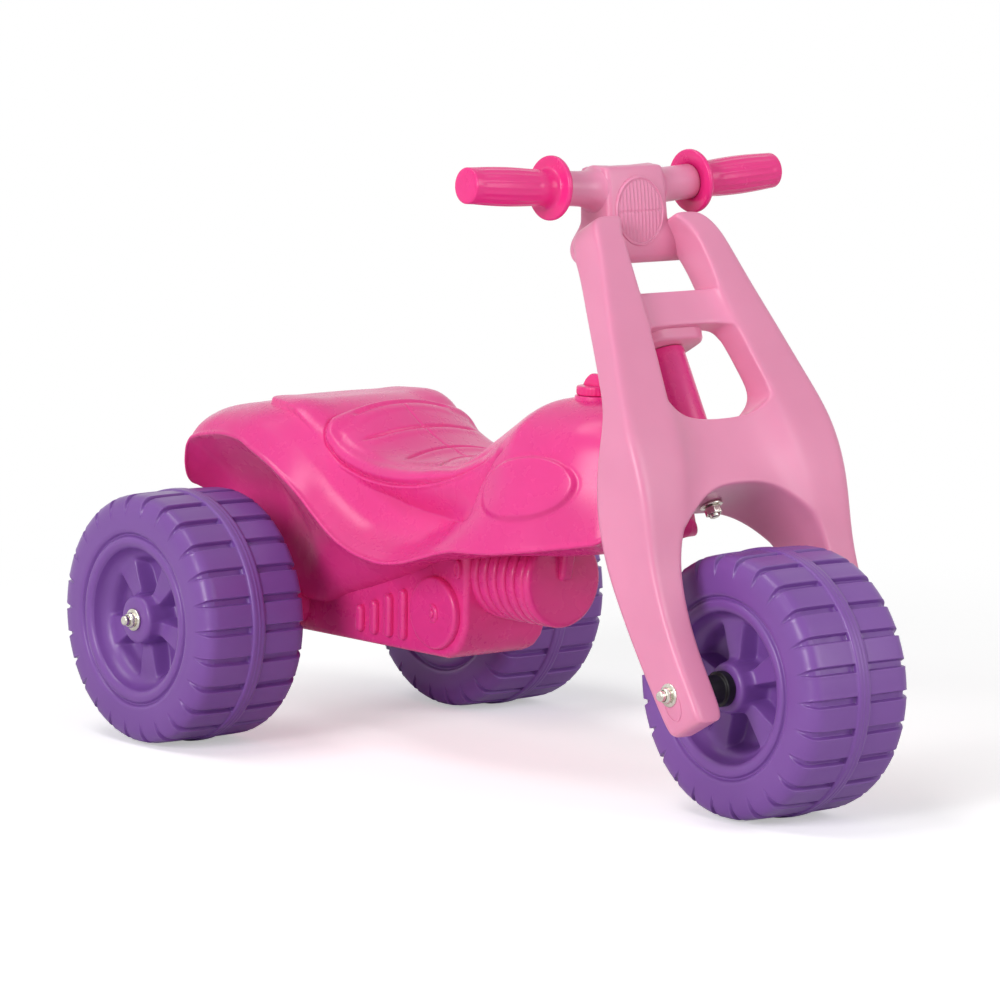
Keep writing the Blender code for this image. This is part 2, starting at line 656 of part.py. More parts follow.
def make_body(finish):
    body = body_skin("body_shell", finish=finish)
    add(body, engine_block("block_outside", 0.0))
    add(body, drum("drum_outside", 0.0))
    add(body, raised_patch("plateau", PLATEAU_HALF, PLATEAU_STATIONS, PLATEAU_RELIEF, 8))
    add(body, raised_patch("seat_pad", PAD_HALF, PAD_STATIONS, PAD_RELIEF, 10))
    knee_pads(body)
    engine_relief(body)
    low, high = ((along(x), side * BRACKET_HALF_WIDTH, up(z))
                 for side, (x, z) in ((-1, BRACKET_LOW), (1, BRACKET_HIGH)))
    add(body, box("drum_bracket", low, high))
    boss = rod("axle_bosses", AXLE_BOSS_RADIUS, -HUB_INSIDE + RUNNING_GAP,
               HUB_INSIDE - RUNNING_GAP, 24, axle_place(REAR_AXLE_X, AXLE_HEIGHT))
    add(body, boss)
    place = frame_matrix()
    add(body, rod("tube_outside", TUBE_RADIUS, TUBE_BOTTOM, TUBE_TOP, 28, place))
    web = [rounded_rectangle(-WEB_REACH, -TUBE_RADIUS / 2, WEB_HALF_WIDTH, 0.005, height)
           for height in (TUBE_BOTTOM + WEB_FOOT, TUBE_TOP - WEB_TOP)]
    add(body, loft("web", web, place=place))
    cap_axis = Matrix.Translation((along(CAP_ALONG), 0.0, up(0.0)))
    add(body, rod("cap_seat", CAP_RADIUS + SEAT_MARGIN, CAP_SEAT - CAP_SEAT_DEPTH, CAP_SEAT, 24,
                  cap_axis))
    cut(body, body_skin("skin_inside", WALL + HOLLOW_MARGIN))
    cut(body, engine_block("block_inside", WALL))
    cut(body, drum("drum_inside", WALL))
    hollow = [(0.0, TUBE_BOTTOM - 0.01), (BORE_RADIUS, TUBE_BOTTOM - 0.01),
              (BORE_RADIUS, TUBE_BOTTOM + TUBE_END), (TUBE_RADIUS - WALL, TUBE_BOTTOM + TUBE_END),
              (TUBE_RADIUS - WALL, TUBE_TOP - TUBE_END), (BORE_RADIUS, TUBE_TOP - TUBE_END),
              (BORE_RADIUS, TUBE_TOP + 0.01), (0.0, TUBE_TOP + 0.01)]
    cut(body, turned("tube_bore", hollow, 20, place=place))
    cut(body, rod("axle_bore", BORE_RADIUS, -TRACK / 2, TRACK / 2, 16,
                  axle_place(REAR_AXLE_X, AXLE_HEIGHT)))
    cut(body, rod("cap_hole", CAP_STEM_RADIUS + CLEARANCE, CAP_SEAT - CAP_SEAT_DEPTH - OVERCUT,
                  CAP_SEAT + OVERCUT, 20, cap_axis))
    return body


def fork_points():
    """Guide points (lateral, up the axis, back, front) of one side of the fork."""
    points = {}
    for row, (axial, inner, outer, back, front) in enumerate(LEG_ROWS):
        points["in", row] = (inner, axial, back, front)
        points["out", row] = (outer, axial, back, front)
    for name, lateral, rows in (("mid", CROWN_MID, CROWN_MID_UP), ("axis", 0.0, CROWN_AXIS_UP)):
        for row, axial in zip(CROWN_ROWS, rows):
            points[name, row] = (lateral, axial, CROWN_BACK, CROWN_FRONT)
    for name, lateral in (("mid", CROSSBAR_MID), ("axis", 0.0)):
        for row in CROSSBAR_ROWS:
            _, axial, back, front = points["in", row]
            points[name, row] = (lateral, axial, back, front)
    return points


def fork_cage(name, finish=None, parent=None, shrink=0.0):
    """Legs, crown and crossbar as one smoothed skin."""
    half = fork_points()
    cells = [(("in", r), ("out", r), ("out", r + 1), ("in", r + 1))
             for r in range(len(LEG_ROWS) - 1)]
    for rows in (CROWN_ROWS, CROSSBAR_ROWS):
        for r in rows[:-1]:
            cells.append((("mid", r), ("in", r), ("in", r + 1), ("mid", r + 1)))
            cells.append((("axis", r), ("mid", r), ("mid", r + 1), ("axis", r + 1)))
    index = {}
    vertices = []

    def corner(key, side, layer):
        column, row = key
        side = 1 if column == "axis" else side
        if (column, row, side, layer) not in index:
            lateral, axial, back, front = half[key]
            index[column, row, side, layer] = len(vertices)
            vertices.append((front if layer else back, side * lateral, axial))
        return index[column, row, side, layer]

    faces = []
    edges = {}
    for side in (1, -1):
        for cell in cells:
            for layer in (0, 1):
                faces.append([corner(key, side, layer) for key in cell])
            for a, b in zip(cell, cell[1:] + cell[:1]):
                pair = frozenset((corner(a, side, 1), corner(b, side, 1)))
                edges.setdefault(pair, []).append(
                    (corner(a, side, 1), corner(b, side, 1), corner(b, side, 0),
                     corner(a, side, 0)))
    rim = [walls[0] for walls in edges.values() if len(walls) == 1]
    faces += [list(wall) for wall in rim]
    made = mesh_object(name, vertices, faces, finish, parent)
    creased = set()
    for a, b, c, d in rim:
        creased |= {frozenset((a, b)), frozenset((c, d))}
    crease = made.data.attributes.new("crease_edge", "FLOAT", "EDGE")
    for edge in made.data.edges:
        if frozenset(edge.vertices) in creased:
            crease.data[edge.index].value = FORK_EDGE_CREASE
    if not shrink:
        smooth = made.modifiers.new("smooth", "SUBSURF")
        smooth.levels = 1
        smooth.render_levels = 1
    else:
        hollow = made.modifiers.new("hollow", "DISPLACE")
        hollow.direction = "NORMAL"
        hollow.mid_level = 0.0
        hollow.strength = -shrink
        made.matrix_world = frame_matrix()
    return made


def bar_place(side):
    """Local Z out along a handlebar stub."""
    centre = frame_matrix() @ Vector((BAR_AHEAD, 0.0, BAR_HEIGHT))
    outwards = Vector((0.0, side * cos(BAR_RISE), sin(BAR_RISE)))
    turn = Vector((0.0, 0.0, 1.0)).rotation_difference(outwards)
    return Matrix.Translation(centre) @ turn.to_matrix().to_4x4()


def block_place():
    centre = frame_matrix() @ Vector((BAR_AHEAD, 0.0, BAR_HEIGHT))
    return Matrix.Translation(centre) @ Matrix.Rotation(-BLOCK_TILT, 4, "Y")


def headlight_block(name, shrink):
    sections = []
    for k, (height, back, front, half, radius) in enumerate(BLOCK_SECTIONS):
        end_shift = shrink if k == 0 else -shrink if k == len(BLOCK_SECTIONS) - 1 else 0.0
        sections.append(rounded_rectangle(back + shrink, front - shrink, half - shrink,
                                          radius - shrink, height + end_shift))
    return loft(name, sections, place=block_place())


def make_fork(finish, frame):
    fork = fork_cage("fork_frame", finish, frame)
    fork.matrix_local = Matrix()
    place = frame_matrix()
    lug = [rounded_rectangle(-LUG_RADIUS, LUG_FRONT, LUG_RADIUS, LUG_RADIUS * 0.98, height, 5)
           for height in (CROSSBAR_BOTTOM, LUG_TOP)]
    add(fork, loft("crossbar_lug", lug, place=place))
    add(fork, headlight_block("block_outside_fork", 0.0))
    for side, hand in ((1, "left"), (-1, "right")):
        stub_end = GRIP_END - WALL - STUB_END_GAP
        bar = [(0.0, BAR_ROOT), (BAR_RADIUS, BAR_ROOT), (BAR_RADIUS, FLANGE_START - CLEARANCE),
               (STUB_RADIUS, FLANGE_START - CLEARANCE), (STUB_RADIUS, stub_end), (0.0, stub_end)]
        add(fork, turned("stub_" + hand, bar, 20, place=bar_place(side)))
    lamp = block_place() @ Matrix.Translation((0.0, 0.0, -HEADLIGHT_DROP))
    lamp = lamp @ Matrix.Rotation(pi / 2, 4, "Y")
    add(fork, rod("headlight", HEADLIGHT_RADIUS, HEADLIGHT_ROOT, HEADLIGHT_FACE, 24, lamp))
    cut(fork, fork_cage("fork_inside", shrink=FORK_WALL))
    cut(fork, headlight_block("block_inside_fork", WALL))
    vent = block_place() @ Matrix.Translation((HEADLIGHT_ROOT / 3, 0.0, 0.0))
    cut(fork, rod("block_vent", BLOCK_VENT_RADIUS, BLOCK_FOOT - OVERCUT, BLOCK_FOOT + 2 * WALL,
                  12, vent))
    cut(fork, rod("bolt_hole", BORE_RADIUS, CROWN_BOTTOM - OVERCUT, LUG_TOP + OVERCUT, 16, place))
    cut(fork, rod("crown_seat", TUBE_RADIUS + SEAT_MARGIN, CROWN_TOP - SEAT_DEPTH,
                  CROWN_TOP + OVERCUT, 24, place))
    cut(fork, rod("lug_seat", TUBE_RADIUS + SEAT_MARGIN, CROSSBAR_BOTTOM - OVERCUT,
                  CROSSBAR_BOTTOM, 24, place))
    cut(fork, rod("head_seat", WASHER_RADIUS + SEAT_MARGIN, LUG_TOP, LUG_TOP + 2 * OVERCUT, 20,
                  place))
    cut(fork, rod("arch_seat", WASHER_RADIUS + SEAT_MARGIN, CROWN_BOTTOM - OVERCUT,
                  CROWN_BOTTOM + SEAT_DEPTH, 20, place))
    axle = axle_place(FRONT_AXLE_X, AXLE_HEIGHT)
    cut(fork, rod("axle_hole", BORE_RADIUS, -LEG_OUTER - OVERCUT, LEG_OUTER + OVERCUT, 16, axle))
    for side, hand in ((1, "left"), (-1, "right")):
        ends = sorted((side * LEG_OUTER_SEAT, side * (LEG_OUTER + OVERCUT)))
        cut(fork, rod("washer_seat_" + hand, WASHER_RADIUS + SEAT_MARGIN, *ends, 20, axle))
        ends = sorted((side * LEG_INNER_SEAT, side * (LEG_INNER - OVERCUT)))
        cut(fork, rod("spacer_seat_" + hand, SPACER_RADIUS + SEAT_MARGIN, *ends, 20, axle))
    return fork


def make_grip(hand, side, finish, frame):
    end = GRIP_END
    bore = STUB_RADIUS + CLEARANCE
    start = FLANGE_START
    middle = (start + end) / 2
    profile = [(0.0, end - WALL), (bore, end - WALL), (bore, start), (FLANGE_RADIUS, start),
               (FLANGE_RADIUS, start + FLANGE_THICKNESS),
               (GRIP_NECK_RADIUS, start + FLANGE_THICKNESS),
               (GRIP_NECK_RADIUS, start + GRIP_NECK_LENGTH), (GRIP_RADIUS, middle),
               (GRIP_END_RADIUS, end - GRIP_END_ROUND), (GRIP_END_RADIUS - GRIP_END_ROUND, end),
               (0.0, end)]
    return turned(hand + "_grip", profile, 20, finish, frame, in_frame(bar_place(side)))


def wheel_rings():
    """Half profile of the wheel from the middle band to the bore: radius, distance from
    the middle plane, and how far the cross grooves reach there."""
    tread = WHEEL_RADIUS - BAND_HEIGHT
    outer = [(WHEEL_RADIUS, BAND_HALF_WIDTH - BAND_HEIGHT, 0.0), (tread, BAND_HALF_WIDTH, 1.0),
             (tread - 0.0010, TREAD_HALF_WIDTH - 0.0035, 1.0),
             (tread - 0.0085, TREAD_HALF_WIDTH + 0.0033, 0.7)]
    inner = [(RIM_RADIUS + 0.010, WHEEL_HALF_WIDTH), (RIM_RADIUS, WHEEL_HALF_WIDTH - 0.0025),
             (RIM_RADIUS - 0.011, WHEEL_HALF_WIDTH - 0.003), (DISH_RADIUS, DISH_TOP),
             (DISH_RADIUS - 0.001, POCKET_FLOOR), (HUB_RADIUS + 0.001, POCKET_FLOOR),
             (HUB_RADIUS - 0.0005, HUB_HALF_WIDTH), (BORE_RADIUS, HUB_HALF_WIDTH)]
    return outer, inner


def make_tyre(name, finish, parent):
    """Wheel blank: three points for each lug on the tread, one on the rim and dish."""
    outer, inner = wheel_rings()
    pitch = 2 * pi / TYRE_LUGS
    vertices = []

    def point(radius, height, angle):
        vertices.append((radius * cos(angle), radius * sin(angle), height))
        return len(vertices) - 1

    def fine(radius, height, groove):
        made = []
        for k in range(TYRE_LUGS):
            middle = pi / 2 + k * pitch
            made.append(point(radius, height, middle - LUG_HALF_ANGLE))
            made.append(point(radius, height, middle + LUG_HALF_ANGLE))
            made.append(point(radius - groove * GROOVE_DEPTH, height, middle + pitch / 2))
        return made

    def coarse(radius, height):
        return [point(radius, height, pi / 2 + k * pitch) for k in range(TYRE_LUGS)]

    fine_rings = [fine(r, h, g) for r, h, g in outer[::-1]]
    fine_rings += [fine(r, -h, g) for r, h, g in outer]
    upper = [coarse(r, h) for r, h in inner]
    lower = [coarse(r, -h) for r, h in inner]
    faces = []
    for rings in (fine_rings, upper, lower, [upper[-1], lower[-1]]):
        for a, b in zip(rings, rings[1:]):
            count = len(a)
            for k in range(count):
                nxt = (k + 1) % count
                faces.append((a[k], a[nxt], b[nxt], b[k]))
    for tread, side in ((fine_rings[0], upper[0]), (fine_rings[-1], lower[0])):
        for k in range(TYRE_LUGS):
            start, end, groove = tread[3 * k:3 * k + 3]
            following = tread[(3 * k + 3) % len(tread)]
            nxt = side[(k + 1) % TYRE_LUGS]
            faces += [(start, end, side[k]), (end, groove, side[k]), (groove, nxt, side[k]),
                      (groove, following, nxt)]
    return mesh_object(name, vertices, faces, finish, parent)


def spoke(name, angle, direction, place):
    """A rib across a dish pocket, wider at its outer end."""
    inner_end = HUB_RADIUS - 0.003
    outer_end = DISH_RADIUS + 0.003
    top = direction * (DISH_TOP - 0.001)
    floor = direction * (POCKET_FLOOR - WALL / 2)
    sections = []
    for reach, width in ((inner_end, SPOKE_INNER_WIDTH), (outer_end, SPOKE_OUTER_WIDTH)):
        half = width / 2
        sections.append([(reach, -half, floor), (reach, half, floor),
                         (reach, half * SPOKE_TOP_SHARE, top), (reach, -half * SPOKE_TOP_SHARE, top)])
    return loft(name, sections, place=place @ Matrix.Rotation(angle, 4, "Z"))


def make_wheel(name, x, y, finish, parent=None, inboard=1, lugs_turned=0):
    """A hollow moulded wheel, turned forwards by some lugs; the vent is on the side
    given by inboard."""
    turn = Matrix.Rotation(2 * pi * lugs_turned / TYRE_LUGS, 4, "Z")
    world = Matrix.Translation((0.0, y, 0.0)) @ axle_place(x, AXLE_HEIGHT) @ turn
    wheel = make_tyre(name, finish, parent)
    wheel.matrix_local = in_frame(world) if parent else world
    for direction, face in ((1, "left"), (-1, "right")):
        for k in range(SPOKES):
            angle = 2 * pi * (k + 0.25) / SPOKES
            add(wheel, spoke(f"{name}_{face}_spoke_{k}", angle, direction, world))
    wall = TYRE_WALL
    half = [(WHEEL_RADIUS - BAND_HEIGHT - GROOVE_DEPTH - wall, TREAD_HALF_WIDTH - 0.010),
            (RIM_RADIUS + 0.010, WHEEL_HALF_WIDTH - wall),
            (RIM_RADIUS - 0.010, WHEEL_HALF_WIDTH - 0.0037 - wall),
            (DISH_RADIUS + wall * 1.2, DISH_TOP - wall),
            (DISH_RADIUS + wall * 1.2, POCKET_FLOOR - wall),
            (HUB_RADIUS - wall, POCKET_FLOOR - wall), (HUB_RADIUS - wall, HUB_HALF_WIDTH - wall),
            (BORE_RADIUS + wall, HUB_HALF_WIDTH - wall)]
    profile = half + [(r, -h) for r, h in half[::-1]]
    cut(wheel, turned(name + "_inside", profile, TYRE_LUGS // 2, place=world, phase=0.0))
    vent = world @ Matrix.Rotation(VENT_ANGLE, 4, "Z") @ Matrix.Translation((VENT_REACH, 0.0, 0.0))
    ends = sorted((inboard * (POCKET_FLOOR - 2 * wall), inboard * (POCKET_FLOOR + wall)))
    cut(wheel, rod(name + "_vent", VENT_RADIUS, *ends, 10, vent))
    return wheel


def push_nut(start, side):
    """Stepped nut profile on an axle, from its washer face outwards."""
    profile = [(BORE_RADIUS, start), (NUT_RADIUS, start),
               (NUT_RADIUS, start + NUT_LENGTH * 0.55), (NUT_RADIUS * 0.8, start + NUT_LENGTH),
               (BORE_RADIUS, start + NUT_LENGTH)]
    return [(radius, side * height) for radius, height in profile]


def axle_set(name, x, reach, finish, frame=None):
    """A rod held by a washer and a pressed-on nut at each end. Reach is the distance
    from the middle to the face that a washer bears on."""
    world = axle_place(x, AXLE_HEIGHT)
    local = in_frame(world) if frame else world
    washer = reach + CLEARANCE
    nut = washer + WASHER_THICKNESS + CLEARANCE
    end = nut + NUT_LENGTH + ROD_PROUD
    rod(name + "_axle", AXLE_RADIUS, -end, end, 12, local, frame, finish, AXLE_END_CHAMFER)
    for side, hand in ((1, "left"), (-1, "right")):
        ends = sorted((side * washer, side * (washer + WASHER_THICKNESS)))
        ring(f"{name}_{hand}_washer", BORE_RADIUS, WASHER_RADIUS, *ends, 14, local, frame, finish)
        turned(f"{name}_{hand}_push_nut", push_nut(nut, side), 14, finish, frame, local)


def make_spacer(hand, side, finish, frame):
    """Collar between the wheel hub and a fork leg, with a recess towards the leg."""
    start = HUB_HALF_WIDTH + RUNNING_GAP
    end = LEG_INNER_SEAT - CLEARANCE
    profile = [(BORE_RADIUS, start), (SPACER_RADIUS, start), (SPACER_RADIUS, end),
               (SPACER_RECESS_RADIUS, end), (SPACER_RECESS_RADIUS, end - SPACER_RECESS_DEPTH),
               (BORE_RADIUS, end - SPACER_RECESS_DEPTH)]
    profile = [(radius, side * height) for radius, height in profile]
    local = in_frame(axle_place(FRONT_AXLE_X, AXLE_HEIGHT))
    return turned(f"front_{hand}_spacer", profile, 16, finish, frame, local)


def steering_hardware(finish, frame):
    """Bolt down through the crossbar, head tube and crown, held by a nut below."""
    upper = LUG_TOP + CLEARANCE
    head = upper + WASHER_THICKNESS + CLEARANCE
    lower = CROWN_BOTTOM + SEAT_DEPTH - CLEARANCE - WASHER_THICKNESS
    nut = lower - CLEARANCE - STEERING_NUT_LENGTH
    end = nut - STEERING_BOLT_PROUD
    profile = [(0.0, end), (AXLE_RADIUS - AXLE_END_CHAMFER, end),
               (AXLE_RADIUS, end + AXLE_END_CHAMFER), (AXLE_RADIUS, head),
               (BOLT_HEAD_RADIUS, head), (BOLT_HEAD_RADIUS * 0.8, head + BOLT_HEAD_HEIGHT * 0.7),
               (BOLT_HEAD_RADIUS * 0.4, head + BOLT_HEAD_HEIGHT), (0.0, head + BOLT_HEAD_HEIGHT)]
    place = Matrix()
    turned("steering_bolt", profile, 14, finish, frame, place)
    for name, start in (("upper", upper), ("lower", lower)):
        ring(f"steering_{name}_washer", BORE_RADIUS, WASHER_RADIUS, start,
             start + WASHER_THICKNESS, 14, place, frame, finish)
    ring("steering_nut", BORE_RADIUS / cos(pi / 6), STEERING_NUT_RADIUS, nut,
         nut + STEERING_NUT_LENGTH, 6, place, frame, finish)


def make_cap(finish):
    """Cap with a stem that snaps into the tank and a wing to turn it by."""
    place = Matrix.Translation((along(CAP_ALONG), 0.0, up(CAP_SEAT) + CLEARANCE))
    profile = [(0.0, -CAP_STEM_LENGTH), (CAP_STEM_RADIUS, -CAP_STEM_LENGTH),
               (CAP_STEM_RADIUS, 0.0), (CAP_RADIUS, 0.0), (CAP_RADIUS, CAP_HEIGHT - CAP_EDGE),
               (CAP_RADIUS - CAP_EDGE, CAP_HEIGHT), (0.0, CAP_HEIGHT)]
    cap = turned("fuel_cap", profile, 28, finish, place=place)
    wing = [rounded_rectangle(-CAP_RADIUS * reach, CAP_RADIUS * reach, CAP_WING_HALF_WIDTH * width,
                              CAP_WING_HALF_WIDTH * width * 0.6, height)
            for height, reach, width in ((CAP_HEIGHT - CAP_EDGE, 0.88, 1.0),
                                         (CAP_HEIGHT + CAP_WING_HEIGHT * 0.55, 0.67, 0.7),
                                         (CAP_HEIGHT + CAP_WING_HEIGHT, 0.35, 0.43))]
    add(cap, loft("cap_wing", wing, place=place))
    return cap


def main():
    clear_scene()
    hot_pink = material("hot_pink_plastic", (0.75, 0.045, 0.25), 0.42)
    bright_pink = material("bright_pink_plastic", (0.80, 0.035, 0.24), 0.28)
    light_pink = material("light_pink_plastic", (0.83, 0.33, 0.50), 0.42)
    purple = material("purple_plastic", (0.20, 0.075, 0.36), 0.42)
    black = material("black_plastic", (0.01, 0.01, 0.012), 0.35)
    steel = material("plated_steel", (0.66, 0.64, 0.58), 0.22, 1.0)
    make_body(hot_pink)
    make_cap(bright_pink)
    frame = steering_frame()
    make_fork(light_pink, frame)
    for side, hand in ((1, "left"), (-1, "right")):
        make_grip(hand, side, bright_pink, frame)
        make_spacer(hand, side, black, frame)
        make_wheel(f"rear_{hand}_wheel", REAR_AXLE_X, side * TRACK / 2, purple, inboard=-side)
    make_wheel("front_wheel", FRONT_AXLE_X, 0.0, purple, frame, lugs_turned=FRONT_WHEEL_TURN)
    axle_set("rear", REAR_AXLE_X, HUB_OUTSIDE + RUNNING_GAP, steel)
    axle_set("front", FRONT_AXLE_X, LEG_OUTER_SEAT, steel, frame)
    steering_hardware(steel, frame)


main()
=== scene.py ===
from math import cos, pi, radians, sin, tau

import bpy
import numpy as np
from mathutils import Matrix, Vector


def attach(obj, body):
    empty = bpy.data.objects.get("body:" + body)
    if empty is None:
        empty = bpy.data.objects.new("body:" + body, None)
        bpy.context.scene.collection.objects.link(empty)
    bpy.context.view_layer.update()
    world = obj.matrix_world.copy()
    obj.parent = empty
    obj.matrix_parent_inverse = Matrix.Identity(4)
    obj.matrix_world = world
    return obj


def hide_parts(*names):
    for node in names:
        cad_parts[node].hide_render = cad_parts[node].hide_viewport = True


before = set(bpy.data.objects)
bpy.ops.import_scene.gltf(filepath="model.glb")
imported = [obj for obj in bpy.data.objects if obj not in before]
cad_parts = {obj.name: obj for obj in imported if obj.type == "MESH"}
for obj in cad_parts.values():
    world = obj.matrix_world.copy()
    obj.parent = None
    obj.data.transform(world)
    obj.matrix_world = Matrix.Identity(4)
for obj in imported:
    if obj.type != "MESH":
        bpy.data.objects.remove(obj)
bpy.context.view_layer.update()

# Sizes of the toy in metres, the same as the solids have
WHEELBASE = 0.5327
TRACK = 0.3138
RAKE = radians(28.48)
FORK_OFFSET = 0.0038
LUGS = 26
AXLE_HEIGHT = 0.102112
REAR_X = -WHEELBASE / 2
FRONT_X = WHEELBASE / 2
HUB_HALF_WIDTH = 0.0487
HUB_GAP = 0.0006
BORE_RADIUS = 0.0043
HUB_INSIDE = TRACK / 2 - HUB_HALF_WIDTH
LIFT = AXLE_HEIGHT - 0.1
TUBE_BOTTOM = 0.1971
TUBE_TOP = 0.2694
BAR_AHEAD = 0.0147
BAR_HEIGHT = 0.4
BAR_RISE = radians(3.5)
BLOCK_TILT = radians(4.8)
LEG_OUTER = 0.1035
LEG_INNER = 0.078
CAP_ALONG = 0.324
CAP_SEAT = 0.2978
FIT = 0.0003
HANDS = ((1, "left"), (-1, "right"))


# Shape helpers

def mm(*rows):
    """Rows of millimetres as metres."""
    return tuple(tuple(value / 1000 for value in row) for row in rows)


def smooth_step(low, high, value):
    t = np.clip((np.asarray(value, float) - low) / (high - low), 0.0, 1.0)
    return t * t * (3 - 2 * t)


def bell(value, width):
    return np.exp(-(np.asarray(value, float) / width) ** 2)


def quarter_round(share):
    return np.sqrt(np.clip(1 - (1 - np.clip(share, 0, 1)) ** 2, 0, 1))


def travel_along(points):
    """Distance of each point from the start of its line."""
    steps = np.linalg.norm(np.diff(points, axis=-2), axis=-1)
    return np.insert(np.cumsum(steps, axis=-1), 0, 0.0, axis=-1)


def hermite(points, counts):
    """Smooth curve through the rows of points (sets, guides, 2), with the given number
    of steps in each span; speeds follow the lengths of the spans."""
    p = np.asarray(points, float)
    p = np.concatenate([2 * p[:, :1] - p[:, 1:2], p, 2 * p[:, -1:] - p[:, -2:-1]], axis=1)
    steps = np.diff(p, axis=1)
    span = np.linalg.norm(steps, axis=2, keepdims=True) + 1e-9
    speed = steps / span
    slope = (speed[:, :-1] * span[:, 1:] + speed[:, 1:] * span[:, :-1]) / (span[:, :-1] + span[:, 1:])
    made = []
    for i, count in enumerate(counts):
        a, b = p[:, i + 1:i + 2], p[:, i + 2:i + 3]
        length = span[:, i + 1:i + 2]
        t = (np.arange(count) / count)[None, :, None]
        made.append(a * (1 + 2 * t) * (1 - t) ** 2 + b * t * t * (3 - 2 * t)
                    + slope[:, i:i + 1] * length * t * (1 - t) ** 2
                    + slope[:, i + 1:i + 2] * length * t * t * (t - 1))
    made.append(p[:, -2:-1])
    return np.concatenate(made, axis=1)


def curve(points, steps):
    """Smooth line through a list of pairs."""
    return hermite(np.array([points]), [steps] * (len(points) - 1))[0]


def rail(knots, x):
    """Cubic through the knots with limited slopes, for an array of places."""
    knot = np.array(knots)
    where, value = knot[:, 0], knot[:, 1]
    step = np.diff(value) / np.diff(where)
    before, after = step[:-1], step[1:]
    safe = np.where(np.abs(before + after) < 1e-12, 1.0, before + after)
    middle = np.where(before * after > 0, 2 * before * after / safe, 0.0)
    slope = np.concatenate([step[:1], middle, step[-1:]])
    x = np.clip(np.asarray(x, float), where[0], where[-1])
    i = np.clip(np.searchsorted(where, x) - 1, 0, len(where) - 2)
    span = where[i + 1] - where[i]
    u = (x - where[i]) / span
    return (value[i] * (1 + 2 * u) * (1 - u) ** 2 + slope[i] * span * u * (1 - u) ** 2
            + value[i + 1] * u * u * (3 - 2 * u) + slope[i + 1] * span * u * u * (u - 1))


def distance_to(line, x, y):
    """Distance of each place to an open line of points."""
    line = np.asarray(line, float)
    best = np.full(np.shape(x), 1e9)
    for a, b in zip(line, line[1:]):
        d = b - a
        t = np.clip(((x - a[0]) * d[0] + (y - a[1]) * d[1]) / max(d @ d, 1e-12), 0, 1)
        best = np.minimum(best, np.hypot(x - a[0] - t * d[0], y - a[1] - t * d[1]))
    return best


def inside(outline, x, y):
    """True where a place lies in the closed outline."""
    outline = np.asarray(outline, float)
    found = np.zeros(np.shape(x), bool)
    for a, b in zip(outline, np.roll(outline, -1, axis=0)):
        crosses = (a[1] > y) != (b[1] > y)
        rise = b[1] - a[1] if abs(b[1] - a[1]) > 1e-12 else 1e-12
        found ^= crosses & (x < a[0] + (y - a[1]) * (b[0] - a[0]) / rise)
    return found


# Mesh helpers

def linked(name, data):
    made = bpy.data.objects.new(name, data)
    bpy.context.scene.collection.objects.link(made)
    return made


def mesh_object(name, vertices, faces):
    mesh = bpy.data.meshes.new(name)
    mesh.from_pydata([tuple(map(float, v)) for v in vertices], [], faces)
    mesh.update()
    mesh.shade_smooth()
    return linked(name, mesh)


def grid_faces(rows, columns, closed=True):
    faces = []
    for i in range(rows - 1):
        low = i * columns
        for j in range(columns if closed else columns - 1):
            k = (j + 1) % columns
            faces.append((low + j, low + k, low + columns + k, low + columns + j))
    return faces


def grid_object(name, grid, close_ends=True):
    """Skin over a grid of points whose columns run round and close."""
    rows, columns = grid.shape[:2]
    vertices = grid.reshape(-1, 3)
    faces = grid_faces(rows, columns)
    if close_ends:
        base = rows * columns
        last = base - columns
        vertices = np.vstack([vertices, grid[0].mean(axis=0), grid[-1].mean(axis=0)])
        for k in range(columns):
            following = (k + 1) % columns
            faces.append((base, following, k))
            faces.append((base + 1, last + k, last + following))
    return mesh_object(name, vertices, faces)


def fix_normals(made):
    """Faces turned outwards."""
    bpy.context.view_layer.objects.active = made
    made.select_set(True)
    bpy.ops.object.mode_set(mode="EDIT")
    bpy.ops.mesh.select_all(action="SELECT")
    bpy.ops.mesh.normals_make_consistent(inside=False)
    bpy.ops.object.mode_set(mode="OBJECT")
    made.select_set(False)
    return made


def put(made, place):
    made.data.transform(place)
    return made


def join(name, parts):
    """One mesh from several."""
    vertices = []
    faces = []
    for part in parts:
        base = len(vertices)
        vertices += [part.matrix_world @ v.co for v in part.data.vertices]
        faces += [tuple(base + i for i in face.vertices) for face in part.data.polygons]
    for part in parts:
        bpy.data.objects.remove(part, do_unlink=True)
    return mesh_object(name, vertices, faces)


def round_grid(radius, angle, height):
    """Grid of points from radius and height at each angle."""
    radius = radius * np.ones_like(height)
    return np.stack([radius * np.cos(angle), radius * np.sin(angle), height], axis=2)


def turned(name, profile, segments, place, ripple=None):
    """Turned shape about local Z from (radius, height) pairs, which start and end on
    the axis or close on themselves. A ripple gives the radius a change round it."""
    profile = np.array(profile, float)
    angle = tau * np.arange(segments) / segments
    radius = profile[:, :1] * np.ones(segments)
    height = profile[:, 1:] * np.ones(segments)
    if ripple is not None:
        radius = radius + ripple(radius, height, angle[None, :])
    grid = round_grid(radius, angle, height)
    if profile[0, 0] > 1e-6 and profile[-1, 0] > 1e-6:
        made = grid_object(name, np.concatenate([grid, grid[:1]]), close_ends=False)
    else:
        made = grid_object(name, grid[1:-1])
    return put(fix_normals(made), place)


